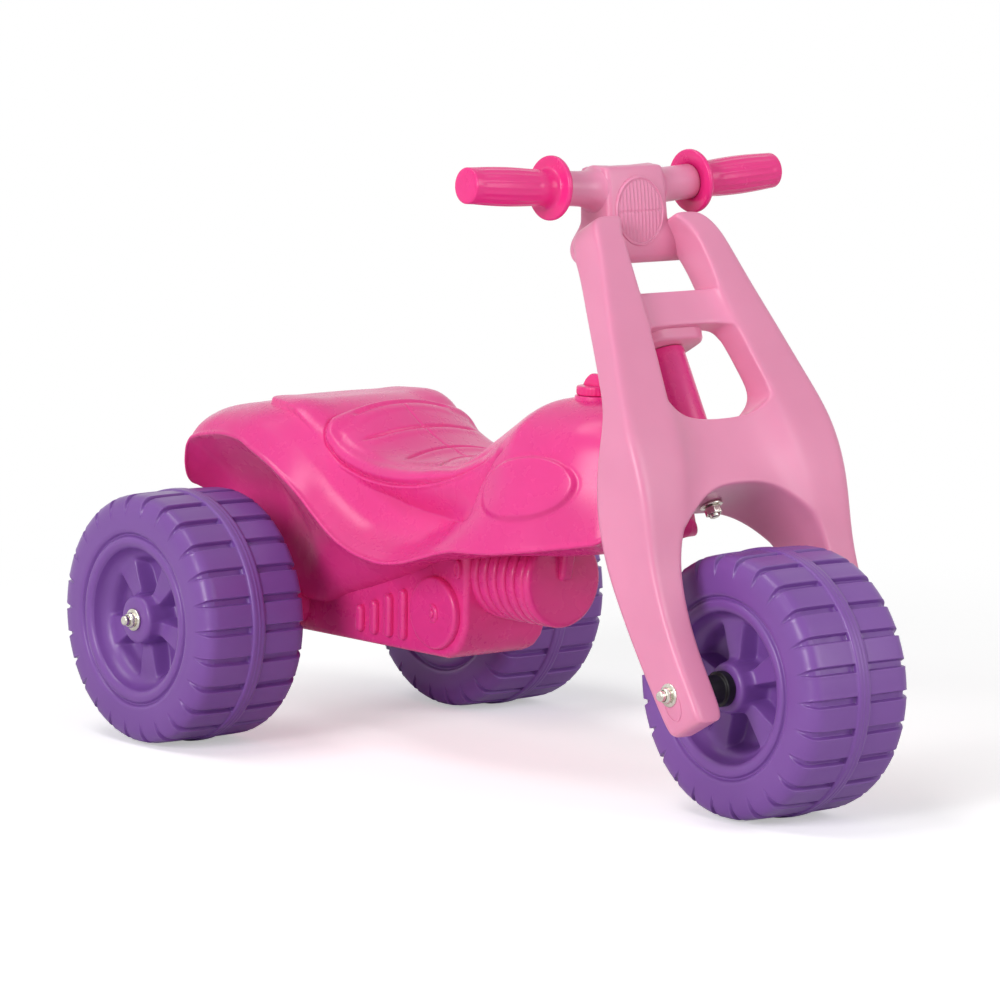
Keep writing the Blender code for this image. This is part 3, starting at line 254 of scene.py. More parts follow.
def soft_corners(profile, radius, steps=3):
    """The profile with each of its corners rounded, its ends kept."""
    points = [Vector(p) for p in profile]
    made = [points[0]]
    for before, corner, after in zip(points, points[1:], points[2:]):
        back, ahead = before - corner, after - corner
        reach = min(radius, back.length * 0.45, ahead.length * 0.45)
        if reach < 1e-6:
            made.append(corner)
            continue
        start = corner + back.normalized() * reach
        end = corner + ahead.normalized() * reach
        for k in range(steps + 1):
            t = k / steps
            made.append(start * (1 - t) ** 2 + corner * 2 * t * (1 - t) + end * t * t)
    made.append(points[-1])
    return [tuple(p) for p in made]


def cylinder(radius, low, high, corner):
    return soft_corners([(0.0, low), (radius, low), (radius, high), (0.0, high)], corner)


def rounded_rectangle(back, front, half, radius, steps=7):
    corners = ((front - radius, half - radius, 0.0), (back + radius, half - radius, pi / 2),
               (back + radius, radius - half, pi), (front - radius, radius - half, 1.5 * pi))
    points = []
    for x, y, turn in corners:
        for k in range(steps + 1):
            angle = turn + pi / 2 * k / steps
            points.append((x + radius * cos(angle), y + radius * sin(angle)))
    return np.array(points)


def lofted(name, sections, place):
    """Skin over flat outlines, each given with its height."""
    grid = [np.column_stack([flat, np.full(len(flat), height)]) for flat, height in sections]
    return put(fix_normals(grid_object(name, np.array(grid))), place)


def prism(name, outline, low, high, bevel, segments):
    """Side outline (x, z) given thickness along Y, with rounded edges."""
    count = len(outline)
    vertices = [(x, y, z) for y in (low, high) for x, z in outline]
    faces = [(k, (k + 1) % count, count + (k + 1) % count, count + k) for k in range(count)]
    faces += [tuple(range(count))[::-1], tuple(range(count, 2 * count))]
    made = fix_normals(mesh_object(name, vertices, faces))
    step = made.modifiers.new("edges", "BEVEL")
    step.width = bevel
    step.segments = segments
    step.limit_method = "ANGLE"
    step.angle_limit = radians(25)
    step.harden_normals = True
    return made


# Places

def placed(x, y, z, angle, axis):
    return Matrix.Translation((x, y, z)) @ Matrix.Rotation(angle, 4, axis)


def fork_place():
    """Steering axis at axle height: X ahead, Y left, Z up the axis."""
    return placed(FRONT_X - FORK_OFFSET / cos(RAKE), 0.0, AXLE_HEIGHT, -RAKE, "Y")


def axle_place(x, y=0.0):
    """Local Z along world Y."""
    return placed(x, y, AXLE_HEIGHT, -pi / 2, "X")


def bar_centre():
    return fork_place() @ Vector((BAR_AHEAD, 0.0, BAR_HEIGHT))


def bar_place(side):
    """Local Z out along one half of the bar."""
    outwards = Vector((0.0, side * cos(BAR_RISE), sin(BAR_RISE)))
    turn = Vector((0.0, 0.0, 1.0)).rotation_difference(outwards)
    return Matrix.Translation(bar_centre()) @ turn.to_matrix().to_4x4()


def block_place():
    return placed(*bar_centre(), -BLOCK_TILT, "Y")


def along(x):
    return x + REAR_X


def raised(outline):
    """Side outline from the rear axle and the ground, in the toy's own place."""
    return [(along(x), z + LIFT) for x, z in outline]


# Materials

def feed(tree, node, inputs):
    for key, value in inputs.items():
        if isinstance(value, bpy.types.NodeSocket):
            tree.links.new(value, node.inputs[key])
        else:
            node.inputs[key].default_value = value
    return node


def add_node(tree, kind, inputs=None):
    return feed(tree, tree.nodes.new("ShaderNode" + kind), inputs or {})


def shader_tree(name):
    made = bpy.data.materials.new(name)
    made.use_nodes = True
    return made, made.node_tree, made.node_tree.nodes["Principled BSDF"]


def noise(tree, coordinates, scale, detail, roughness=0.5):
    return add_node(tree, "TexNoise", {"Vector": coordinates.outputs["Object"], "Scale": scale,
                                       "Detail": detail, "Roughness": roughness}).outputs["Fac"]


def bump(tree, height, strength, distance, **under):
    return add_node(tree, "Bump", {"Height": height, "Strength": strength, "Distance": distance,
                                   **under}).outputs["Normal"]


def reckon(tree, operation, *values):
    node = add_node(tree, "Math")
    node.operation = operation
    return feed(tree, node, dict(enumerate(values))).outputs[0]


def ramp(tree, source, *stops):
    """Blend of two colours, or of two greys given as one number each."""
    node = add_node(tree, "ValToRGB", {"Fac": source})
    for element, (place, colour) in zip(node.color_ramp.elements, stops):
        element.position = place
        element.color = colour if isinstance(colour, tuple) else (colour, colour, colour, 1.0)
    return node.outputs["Color"]


def toned(colour, share, more=0.0):
    return (*(min(1.0, part * share + more) for part in colour), 1.0)


def moulded_plastic(name, colour, roughness, softness=0.0, grain=0.12, edge_lift=0.05, waves=0.16,
                    painted_shade_inside=False):
    """Moulded plastic: slight cloudiness of the colour, a fine skin texture, faint flow
    marks, and convex edges a little lighter. Under a shell's lip, reflections may be dimmed as painted
    shade."""
    made, tree, shader = shader_tree(name)
    place = add_node(tree, "TexCoord")
    tint = ramp(tree, noise(tree, place, 9.0, 3.0), (0.36, toned(colour, 0.955)),
                (0.64, toned(colour, 1.03, 0.004)))
    # Convex edges turn a little lighter, by pointiness.
    edge = add_node(tree, "NewGeometry").outputs["Pointiness"]
    edge_mix = add_node(tree, "Mix")
    edge_mix.data_type = "RGBA"
    feed(tree, edge_mix, {"Factor": ramp(tree, edge, (0.52, 0.0), (0.64, edge_lift * 2)), "A": tint,
                     "B": toned(colour, 1.1, 0.1)})
    polish = ramp(tree, noise(tree, place, 38.0, 5.0, 0.6), (0.3, roughness - 0.035),
                  (0.7, roughness + 0.045))
    skin = bump(tree, noise(tree, place, 1500.0, 3.0, 0.6), grain, 0.0002)
    flow = bump(tree, noise(tree, place, 60.0, 2.0), waves, 0.0006, Normal=skin)
    feed(tree, shader, {"Base Color": edge_mix.outputs["Result"], "Roughness": polish, "Normal": flow,
                        "IOR": 1.44})
    # Painted shade: reflections are turned down on the shell's underside past the lip, where shade falls.
    if painted_shade_inside:
        shade_weight = add_node(tree, "Attribute")
        shade_weight.attribute_name = "inside"
        shaded_specular = reckon(tree, "MULTIPLY_ADD", shade_weight.outputs["Fac"], -0.45, 0.5)
        feed(tree, shader, {"Specular IOR Level": shaded_specular})
    if softness:
        feed(tree, shader, {"Subsurface Weight": softness, "Subsurface Radius": (1.0, 0.35, 0.5),
                            "Subsurface Scale": 0.004})
    return made


def hot_pink_plastic():
    return moulded_plastic("hot_pink_moulding", (0.8, 0.043, 0.272), 0.27, softness=0.1,
                           grain=0.05, edge_lift=0.03, waves=0.05, painted_shade_inside=True)


def bright_pink_plastic():
    return moulded_plastic("bright_pink_moulding", (0.83, 0.026, 0.235), 0.24, softness=0.1,
                           grain=0.04, waves=0.05)


def light_pink_plastic():
    return moulded_plastic("light_pink_moulding", (0.8, 0.276, 0.45), 0.31, softness=0.15)


def purple_plastic():
    return moulded_plastic("purple_moulding", (0.2, 0.074, 0.34), 0.33, softness=0.05)


def black_plastic():
    return moulded_plastic("black_moulding", (0.005, 0.005, 0.006), 0.42, grain=0.08)


def plated_steel():
    """Bright zinc plating with fine turning marks."""
    made, tree, shader = shader_tree("bright_plating")
    place = add_node(tree, "TexCoord")
    cloud = noise(tree, place, 220.0, 4.0)
    tint = ramp(tree, cloud, (0.35, (0.62, 0.58, 0.5, 1.0)), (0.65, (0.8, 0.77, 0.7, 1.0)))
    marks = bump(tree, noise(tree, place, 2600.0, 2.0), 0.15, 0.0001)
    feed(tree, shader, {"Base Color": tint, "Roughness": ramp(tree, cloud, (0.3, 0.16), (0.7, 0.32)),
                        "Normal": marks, "Metallic": 1.0})
    return made


FINISHES = {"hot_pink_plastic": hot_pink_plastic(), "bright_pink_plastic": bright_pink_plastic(),
            "light_pink_plastic": light_pink_plastic(), "purple_plastic": purple_plastic(),
            "black_plastic": black_plastic(), "plated_steel": plated_steel()}


def dress(made, body, slot, *nodes):
    """Finish, moving body, slot and replaced solids of a piece."""
    made.data.materials.clear()
    made.data.materials.append(FINISHES[slot])
    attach(made, body)
    if nodes:
        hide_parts(*nodes)


def on_body(made, *nodes):
    dress(made, "body", "hot_pink_plastic", *nodes)


def on_fork(made, *nodes):
    dress(made, "fork", "light_pink_plastic", *nodes)


def in_steel(made, body, node):
    dress(made, body, "plated_steel", node)


# Wheels: lug grooves, a raised band, a rolled rim and a deep bowl with five spokes

TREAD_PATH = mm(
    (102.1, 0), (102.05, 0.6), (101.9, 1), (101.95, 3), (101.8, 4.6), (101.3, 5.6), (100.6, 6.1),
    (100.4, 6.8), (100.4, 10), (100.4, 18), (100.3, 27), (100.1, 35), (99.7, 40.5), (98.4, 44.3),
    (95.8, 47.2), (92.2, 49.2), (88, 50.3), (83, 50.8), (78, 50.9), (74.5, 51), (71.8, 50.8), (70.3, 50.2),
    (69.4, 49), (68.7, 48.1), (67.9, 48), (67.2, 48.6), (66.5, 49.8), (65.3, 50.6), (63.6, 50.9),
    (61.7, 50.8), (60, 50.2), (58.6, 49.2), (57.5, 47.6))
TREAD_STEPS = 3
WIDENING_POINTS = 60
GROOVE_TOP = 0.145
GROOVE_FLOOR = 0.088
GROOVE_DEPTH = 0.0036
GROOVE_LIP = 0.0002
BAND_EDGE = (0.0061, 0.007)
WAVE_SHARE = 0.05
WAVE_LENGTH = 0.0026
SCOOP_START = 0.0415
SCOOP_END_RADIUS = 0.0815
SPOKES = 5
SPOKE_START = 0.25
FRONT_WHEEL_TURN = 2
BOWL_PATH = mm((57.5, 47.6), (56.8, 45), (55.9, 42.4), (54.6, 40), (53, 38), (51.4, 36.6))
HUB_PATH = mm((16.2, 48.6), (12, 48.7), (4.6, 48.7), (4.3, 48.4))
POCKET_PATH = BOWL_PATH + mm(
    (49.9, 35), (48.4, 32.4), (47.1, 29), (45.7, 25.8), (43.7, 23.6), (40, 22.4), (35, 21.9), (29, 21.9),
    (24, 22.1), (21.4, 23.3), (20.4, 26.5), (19.9, 33), (19.5, 40), (19.2, 44.6), (18.2, 47.4)) + HUB_PATH
SPOKE_PATH = BOWL_PATH + mm(
    (49.7, 35.9), (48, 35.6), (46.2, 35.5), (44.2, 35.5), (42, 35.6), (39, 35.8), (35, 36), (30, 36.1),
    (25.5, 36.3), (23, 36.8), (21.4, 38), (20.3, 40.8), (19.6, 44), (19.2, 45.8), (18.2, 47.6)) + HUB_PATH
SPOKE_HUB_HALF = 0.006
SPOKE_RIM_HALF = 0.0112
SPOKE_COLUMNS = 96
HUB_FACE = 0.0484
BORE_COLUMNS = 48


def tread_angles():
    """Places round the tread, closer together at the edges of the grooves."""
    share = [0.0, 0.1, 0.2, 0.28, 0.325, 0.345, 0.36, 0.372, 0.385, 0.398, 0.412, 0.43, 0.46]
    one = sorted([-s for s in share[1:]] + share + [0.5])
    pitch = tau / LUGS
    return np.array([pi / 2 + (k + s) * pitch for k in range(LUGS) for s in one])


def tread_grid(side):
    path = curve(TREAD_PATH, TREAD_STEPS)
    radius, width = path[:, 0], path[:, 1]
    slope = np.gradient(path, axis=0)
    slope /= np.linalg.norm(slope, axis=1, keepdims=True)
    inward = np.stack([-slope[:, 1], slope[:, 0]], axis=1)
    inward *= np.where(inward[:, 0] > 0.3, -1, 1)[:, None]
    angle = tread_angles()
    turn = (angle - pi / 2) / (tau / LUGS)
    away = 0.5 - np.abs(turn - np.round(turn))
    travel = travel_along(path)
    start = np.interp(SCOOP_START, width[:WIDENING_POINTS], travel[:WIDENING_POINTS])
    end_index = np.argmin(np.where(width > 0.045, np.abs(radius - SCOOP_END_RADIUS), 1.0))
    share = np.clip((travel - start) / (travel[end_index] - start), 0, 1)
    taper = (1 - share ** 1.6)[:, None]
    deep = (1 - share ** 1.3)[:, None] * smooth_step(*BAND_EDGE, width)[:, None]
    top = GROOVE_TOP * taper + 1e-4
    floor = GROOVE_FLOOR * taper
    form = 1 - smooth_step(0.0, 1.0, (away[None, :] - floor) / (top - floor))
    lip = bell((away[None, :] - top * 1.12) / 0.03, 1.0) * GROOVE_LIP * (deep > 0)
    ripple = 1 + WAVE_SHARE * np.sin(width / WAVE_LENGTH * tau)[:, None]
    sink = GROOVE_DEPTH * deep * form * ripple - lip
    ring_radius = radius[:, None] + inward[:, :1] * sink
    ring_width = width[:, None] + inward[:, 1:] * sink
    return round_grid(ring_radius, angle, side * ring_width)


def dish_grid(side):
    pocket = curve(POCKET_PATH, 2)
    spoke = curve(SPOKE_PATH, 2)
    count = SPOKES * SPOKE_COLUMNS
    angle = tau * np.arange(count) / count
    radius = (pocket[:, :1] + spoke[:, :1]) / 2
    turn = angle / (tau / SPOKES) - SPOKE_START
    away = np.abs(turn - np.round(turn)) * (tau / SPOKES) * radius
    half = np.interp(radius, (0.02, 0.046), (SPOKE_HUB_HALF, SPOKE_RIM_HALF))
    form = 1 - smooth_step(half - 0.0014, half + 0.0034, away)
    shape = pocket[:, None, :] * (1 - form[..., None]) + spoke[:, None, :] * form[..., None]
    return round_grid(shape[..., 0], angle, side * shape[..., 1])


def wheel_mesh():
    tread = np.concatenate([tread_grid(-1)[:0:-1], tread_grid(1)])
    angle = tau * np.arange(BORE_COLUMNS) / BORE_COLUMNS
    ends = np.array([[-HUB_FACE], [HUB_FACE]]) * np.ones(BORE_COLUMNS)
    grids = (tread, dish_grid(1), dish_grid(-1), round_grid(BORE_RADIUS, angle, ends))
    parts = [grid_object("ring", grid, close_ends=False) for grid in grids]
    shape = fix_normals(join("wheel_shape", parts))
    mesh = shape.data
    bpy.data.objects.remove(shape)
    return mesh


def make_wheels():
    mesh = wheel_mesh()
    for name, x, y, lugs in (("front_wheel", FRONT_X, 0.0, FRONT_WHEEL_TURN),
                             ("rear_left_wheel", REAR_X, TRACK / 2, 0),
                             ("rear_right_wheel", REAR_X, -TRACK / 2, 0)):
        wheel = linked(name + "_moulding", mesh.copy())
        wheel.data.transform(Matrix.Rotation(tau * lugs / LUGS, 4, "Z"))
        wheel.matrix_world = axle_place(x, y)
        dress(wheel, name, "purple_plastic", name)


# Body skin: rails along X from the rear axle, a crisp lip, and reliefs for pad, deck, scoop and knee

TOP_Z = mm(
    (-88, 244), (-84, 249), (-78, 254.2), (-65, 258.8), (-50, 261.4), (-30, 263.6), (0, 265.8), (50, 267.2),
    (74, 265.2), (88, 258), (108, 247), (142, 233.7), (170, 228.2), (190, 229.2), (204.7, 237),
    (220.1, 251), (237.6, 266), (258.6, 279.5), (278.7, 288), (297.1, 293.5), (316, 296.2), (335, 296.2),
    (360, 294), (392, 285.3))
SHOULDER_Y = mm(
    (-88, 66), (-78, 71), (-65, 72), (-40, 72), (50, 71), (100, 71), (188, 69), (225, 62), (250, 55),
    (300, 50), (350, 44), (392, 29.5))
SHOULDER_Z = mm(
    (-88, 238.5), (-78, 247.5), (-65, 254), (-40, 259.6), (0, 264.5), (30, 265.5), (50, 262.5), (70, 252),
    (90.7, 234.5), (143, 222), (188, 223), (215, 227), (243, 236), (266, 252), (280.6, 266.5), (300, 277.5),
    (350, 276.5), (392, 268.5))
CROWN_SAG = ((0.0, 0.24), (0.19, 0.24), (0.215, 0.5), (0.2376, 0.34), (0.26, 0.31), (0.3, 0.22))
FLANK_Y = mm(
    (-88, 85), (-78, 89.5), (-65, 93), (-40, 95.5), (0, 96), (50, 90), (100, 81), (150, 74), (200, 71),
    (250, 73), (300, 73), (350, 61), (392, 39))
FLANK_Z = mm(
    (-88, 223.5), (-78, 234.5), (-65, 244), (-40, 250), (0, 252), (50, 240), (100, 207), (150, 185),
    (200, 182), (250, 200), (300, 224), (350, 232), (392, 236.5))
LIP_Y = mm(
    (-88, 88), (-84, 94), (-78, 99), (-72, 101.5), (-60, 103), (0, 105), (210, 105), (250, 99), (300, 87.5),
    (350, 65), (392, 49))
LIP_Z = mm(
    (-88, 190), (-84, 201), (-80, 213), (-74, 225.5), (-65.3, 233.4), (-40.2, 238.9), (-18, 241.1),
    (1.3, 239.1), (17.7, 232.5), (39.6, 223.9), (61.3, 213), (82.9, 200.5), (99, 189.1), (120.4, 175),
    (134.9, 168), (158.5, 161.4), (185.8, 158.5), (209, 161.2), (231.9, 167.4), (250.8, 173.2),
    (268, 176.4), (285, 176.8), (301.3, 177.5), (330.9, 181.7), (360.1, 186.6), (392, 192.8))
WELL_Y = mm(
    (-88, 60), (-60, 60), (0, 60), (30, 64), (55, 70), (80, 72.5), (130, 74), (158, 74.5), (210, 74),
    (254, 70), (300, 62), (350, 46), (392, 32))
WELL_Z = mm(
    (-88, 176), (-60, 196), (0, 196), (30, 182), (55, 168), (80, 163.5), (107.5, 159), (130, 155.5),
    (158, 156), (190, 158.8), (210, 161.2), (230.5, 165.5), (254, 170.5), (300, 175.5), (350, 183),
    (392, 190))
UNDER_Y = mm((-88, 30), (-60, 44), (0, 44), (200, 44), (300, 36), (350, 28), (392, 18))
UNDER_Z = mm(
    (-88, 160), (-60, 130), (0, 106), (31.4, 105.4), (71.7, 117.8), (107.5, 128.3), (158.4, 144.9),
    (190, 156), (210, 159.5), (230, 163), (270, 169), (310, 173), (350, 179), (392, 187))
STATION_RUNS = ((-0.088, -0.0795, 18), (-0.0785, -0.011, 56), (-0.01, 0.066, 84), (0.0668, 0.285, 252),
                (0.2862, 0.38, 84), (0.3812, 0.392, 20))
REAR_ROUND = 0.008
NOSE_ROUND = 0.01
LIP_FILLET = 0.0021
LIP_BEAD = 0.0009
LIP_BEAD_WIDTH = 0.0022
# Span past the lip over which reflections fade down, as painted shade under the fender.
PAINTED_SHADE_SPAN = (0.001, 0.008)
CROWN_ACROSS = 0.52
FOOT_DROP = 0.002
END_PULL = (0.09, 0.045)
SPAN_STEPS = 24
UPPER_STEPS = 150
FILLET_STEPS = 8
LOWER_STEPS = 34

PAD_REAR = 0.0688
PAD_CORNER = 0.01
PAD_EDGE_Z = mm(
    (60, 260), (69.6, 253.6), (79.7, 240.1), (93.2, 230.4), (112.7, 223.7), (135.8, 219.2), (159.1, 218),
    (181.3, 219.2), (207.3, 223.4), (227.2, 229.2), (242.6, 236.4), (258, 245), (270, 256))
PAD_HEIGHT = mm((68.8, 5.8), (80, 7.2), (110, 6.2), (190, 5.2), (228, 4))
PAD_ROLL = 0.007
PAD_GROOVES = mm((77.5, -1, 50), (107.6, -4, 58), (141.7, 8, 52), (166.4, 30, 55))
DECK_REAR = -0.004
DECK_CORNER = 0.008
DECK_HEIGHT = 0.0052
DECK_ROLL = 0.0024
DECK_SIDE = mm((-10, 68), (-1, 70), (20, 74), (42, 76.5), (54, 77.5), (64, 77), (80, 76))
BEAD_BELOW = 0.0036
SCOOP_CREASE = mm(
    (100, 219), (126.1, 211.7), (148.2, 205.4), (169.5, 199), (194.5, 195.5), (220.6, 194.6), (242, 196),
    (257.1, 198.1), (261.5, 201.2), (260.6, 209.9), (262.2, 221.8), (267.7, 234.1), (274.8, 245.5),
    (286.7, 256))
SCOOP_LIP = mm(
    (279, 260), (270, 252), (258, 241.4), (242.6, 232.8), (227.2, 225.6), (207.3, 219.8), (181.3, 215.6),
    (159.1, 214.4), (135.8, 215.6), (112.7, 220.1), (100, 224))
SCOOP_DEPTH = 0.0092
SCOOP_RUN = 0.018
SCOOP_TIP = 8
KNEE_CENTRE = (0.3171, 0.2289)
KNEE_HALF = (0.049, 0.025)
KNEE_TILT = radians(9)
SIDE_FROM = 0.03


def spaced(lines, start, end, count):
    """Each line at even steps, from a distance after its start to one before its end."""
    made = np.empty((len(lines), count, 2))
    for row, line in enumerate(lines):
        travel = travel_along(line)
        places = np.linspace(start, travel[-1] - end, count)
        for axis in (0, 1):
            made[row, :, axis] = np.interp(places, travel, line[:, axis])
    return made


def pair(x, across, height):
    return np.stack([rail(across, x), rail(height, x)], axis=1)


def body_grid():
    x = np.concatenate([np.linspace(*run) for run in STATION_RUNS])
    shoulder = pair(x, SHOULDER_Y, SHOULDER_Z)
    lip = pair(x, LIP_Y, LIP_Z)
    top = np.stack([np.zeros_like(x), rail(TOP_Z, x)], axis=1)
    crown = np.stack([shoulder[:, 0] * CROWN_ACROSS,
                      top[:, 1] - (top[:, 1] - shoulder[:, 1]) * rail(CROWN_SAG, x)], axis=1)
    under = pair(x, UNDER_Y, UNDER_Z)
    foot = np.stack([np.zeros_like(x), under[:, 1] - FOOT_DROP], axis=1)
    flip = np.array([-1.0, 1.0])
    above = np.stack([crown * flip, top, crown, shoulder, pair(x, FLANK_Y, FLANK_Z), lip], axis=1)
    below = np.stack([lip, pair(x, WELL_Y, WELL_Z), under, foot, under * flip], axis=1)
    above = hermite(above, [SPAN_STEPS] * 5)[:, SPAN_STEPS:]
    below = hermite(below, [SPAN_STEPS] * 4)[:, :-SPAN_STEPS]
    above = spaced(above, 0.0, LIP_FILLET, UPPER_STEPS)
    below = spaced(below, LIP_FILLET, 0.0, LOWER_STEPS)
    t = (np.arange(1, FILLET_STEPS) / FILLET_STEPS)[None, :, None]
    bend = above[:, -1:] * (1 - t) ** 2 + lip[:, None] * 2 * t * (1 - t) + below[:, :1] * t * t
    half = np.concatenate([above, bend, below], axis=1)
    section = np.concatenate([half, half[:, 1:-1][:, ::-1] * flip], axis=1)
    middle = np.stack([np.zeros_like(x), (top[:, 1] + under[:, 1]) / 2], axis=1)[:, None, :]
    pull = np.zeros_like(x)
    for away, reach in ((x - x[0], REAR_ROUND), (x[-1] - x, NOSE_ROUND)):
        short = np.clip(reach - away, 0, reach)
        pull += reach - np.sqrt(reach ** 2 - short ** 2)
    section = middle + (section - middle) * (1 - pull[:, None, None] / np.array(END_PULL))
    grid = np.empty((*section.shape[:2], 3))
    grid[..., 0] = x[:, None]
    grid[..., 1:] = section
    return grid


def grid_normals(grid):
    ahead = np.gradient(grid, axis=0)
    around = (np.roll(grid, -1, axis=1) - np.roll(grid, 1, axis=1)) / 2
    normal = np.cross(around, ahead)
    normal /= np.linalg.norm(normal, axis=2, keepdims=True) + 1e-12
    middle = grid.mean(axis=1, keepdims=True)
    outward = np.sign(np.sum((grid - middle) * normal)) or 1.0
    return normal * outward


def travel_from_top(grid):
    """Distance of each point along its section from the middle of the top."""
    half = UPPER_STEPS + FILLET_STEPS - 1 + LOWER_STEPS
    one = travel_along(grid[:, :half])
    return np.concatenate([one, one[:, 1:-1][:, ::-1]], axis=1)


def crossing(travel, grid, axis, level):
    """Travel at which each section first meets a level across (1) or in height (2)."""
    found = []
    for way, values, goal in zip(travel, grid[:, :UPPER_STEPS, axis], level):
        met = values >= goal if axis == 1 else values <= goal
        k = int(np.argmax(met))
        if not met.any():
            found.append(way[UPPER_STEPS - 1])
        elif k == 0:
            found.append(way[0])
        else:
            share = (goal - values[k - 1]) / (values[k] - values[k - 1])
            found.append(way[k - 1] + share * (way[k] - way[k - 1]))
    return np.array(found)[:, None]


def corner_depth(a, b, radius):
    """Depth inside two crossing edges whose corner is rounded."""
    p, q = radius - a, radius - b
    return radius - np.hypot(np.maximum(p, 0), np.maximum(q, 0)) - np.minimum(np.maximum(p, q), 0)


def pad_relief(x, y, edge):
    """Seat pad with a rolled rim, cross grooves, a thin middle seam and a bead below."""
    depth = corner_depth(x - PAD_REAR, edge, PAD_CORNER)
    height = rail(PAD_HEIGHT, x) * (1 - smooth_step(0.198, 0.236, x))
    ahead = 1 - smooth_step(0.246, 0.266, x)
    lift = height * quarter_round(depth / PAD_ROLL)
    lift -= 0.0007 * bell(depth - 0.0115, 0.0035) * (depth > 0) * ahead
    lift -= 0.0022 * bell(depth + 0.0005, 0.0011) * ahead
    lift += 0.0013 * bell(depth + BEAD_BELOW, 0.0012) * ahead * smooth_step(0.085, 0.105, x)
    for place, sweep, reach in PAD_GROOVES:
        centre = place + sweep * (np.abs(y) / 0.05) ** 2
        ends = 1 - smooth_step(reach - 0.01, reach, np.abs(y))
        lift -= 0.0025 * bell(x - centre, 0.0016) * ends
        lift += 0.0008 * bell(x - centre - 0.0055, 0.004) * ends
    seam = smooth_step(0.0775, 0.0785, x) * (1 - smooth_step(0.18, 0.19, x))
    return lift - 0.0008 * bell(y, 0.0008) * seam


def deck_relief(x, edge):
    """Raised deck behind the pad with a crisp rear edge."""
    depth = corner_depth(x - DECK_REAR, edge, DECK_CORNER)
    return DECK_HEIGHT * quarter_round(depth / DECK_ROLL) * (1 - smooth_step(0.036, 0.074, x))


def scoop_relief(x, y, z):
    """Hollow that leans inwards below the pad down to a crisp crease, from which the
    fender runs out again, and that ends ahead against the tank."""
    outline = np.vstack([SCOOP_CREASE, SCOOP_LIP])
    within = inside(outline, x, z)
    crease = distance_to(SCOOP_CREASE, x, z)
    front = distance_to(SCOOP_CREASE[SCOOP_TIP:], x, z)
    lip = distance_to(SCOOP_LIP, x, z)
    lower = np.array(SCOOP_CREASE[:SCOOP_TIP + 1])
    share = np.clip(lip / (lip + crease + 1e-9), 0, 1) ** 1.3
    hollow = share * smooth_step(0.0, 0.0024, front) * within
    under = (z < np.interp(x, lower[:, 0], lower[:, 1])) & (x < lower[-1, 0]) & ~within
    run_out = np.clip(1 - crease / SCOOP_RUN, 0, 1) ** 2 * under * (1 - smooth_step(0.215, 0.252, x))
    ends = smooth_step(0.108, 0.17, x) * (1 - smooth_step(0.243, 0.258, z))
    return -SCOOP_DEPTH * (hollow + run_out) * ends * (np.abs(y) > SIDE_FROM)


def knee_relief(x, y, z):
    """Raised oval on each side of the tank, crisper above and ahead."""
    u, v = x - KNEE_CENTRE[0], z - KNEE_CENTRE[1]
    a = (u * cos(KNEE_TILT) + v * sin(KNEE_TILT)) / KNEE_HALF[0]
    b = (-u * sin(KNEE_TILT) + v * cos(KNEE_TILT)) / KNEE_HALF[1]
    ring = np.sqrt(a * a + b * b)
    depth = (1 - ring) * KNEE_HALF[1] * (1 + 0.5 * np.abs(a))
    facing = (a + b) / (1.42 * ring + 1e-6)
    width = 0.0042 - 0.0017 * facing
    lift = 0.0028 * smooth_step(0.0, 1.0, depth / width)
    lift -= 0.0003 * bell(depth + 0.0006, 0.001)
    return lift * (np.abs(y) > SIDE_FROM)


def make_body_skin():
    grid = body_grid()
    normal = grid_normals(grid)
    x, y, z = grid[..., 0], grid[..., 1], grid[..., 2]
    travel = travel_from_top(grid)
    pad_edge = crossing(travel, grid, 2, rail(PAD_EDGE_Z, x[:, 0])) - travel
    deck_edge = crossing(travel, grid, 1, rail(DECK_SIDE, x[:, 0])) - travel
    lift = pad_relief(x, y, pad_edge) + deck_relief(x, deck_edge)
    lift = lift + (scoop_relief(x, y, z) + knee_relief(x, y, z))
    lift[:, UPPER_STEPS - 3:4 - UPPER_STEPS] = 0.0
    lip = UPPER_STEPS + FILLET_STEPS // 2 - 1
    past_lip = travel - travel[:, lip:lip + 1]
    lift = lift + LIP_BEAD * bell(past_lip, LIP_BEAD_WIDTH)
    grid = grid + normal * lift[..., None]
    grid[..., 0] += REAR_X
    grid[..., 2] += LIFT
    skin = fix_normals(grid_object("body_skin", grid))
    # Painted shade: weight that turns reflections down on the skin past the lip, under the fender.
    shade_weight = np.zeros(len(skin.data.vertices), np.float32)
    shade_weight[:travel.size] = smooth_step(*PAINTED_SHADE_SPAN, past_lip).ravel()
    skin.data.attributes.new("inside", "FLOAT", "POINT").data.foreach_set("value", shade_weight)
    on_body(skin, "body_shell")


# Engine block, covers, bars, finned drum, tube, cap seat and cap

BLOCK_HALF = 0.042
BLOCK_OUTLINE = mm(
    (-45, 152), (-45, 112), (-30, 88), (-12, 78), (192, 78), (204, 82.5), (213, 92.5), (218.5, 106),
    (218.5, 168))
SUNK = 0.002
COVER = (0.182, 0.1138)
COVER_RELIEF = 0.0058
BOSS_DEGREES = 104
BARS = mm((85.7, 109.2), (104.1, 115.2), (122.5, 122.2), (140.9, 128.2))
BAR_FOOT = 0.0868
BAR_HALF = 0.004
BAR_RELIEF = 0.0054
FIRST_FIN = 0.2199
FIN_PITCH = 0.0112
FIN_HEIGHT = 0.0046
FIN_SHARE = 0.46
DRUM_RADIUS = 0.0331
DRUM_REAR = 0.2045
DRUM_HEIGHT = 0.148
BRACKET_OUTLINE = mm((286, 147), (292.5, 150), (298.5, 183), (286, 183))
BRACKET_HALF = 0.006


def place_side(x, z, side):
    """Local Z outwards from the block's side."""
    return placed(along(x), 0.0, z + LIFT, -side * pi / 2, "X")


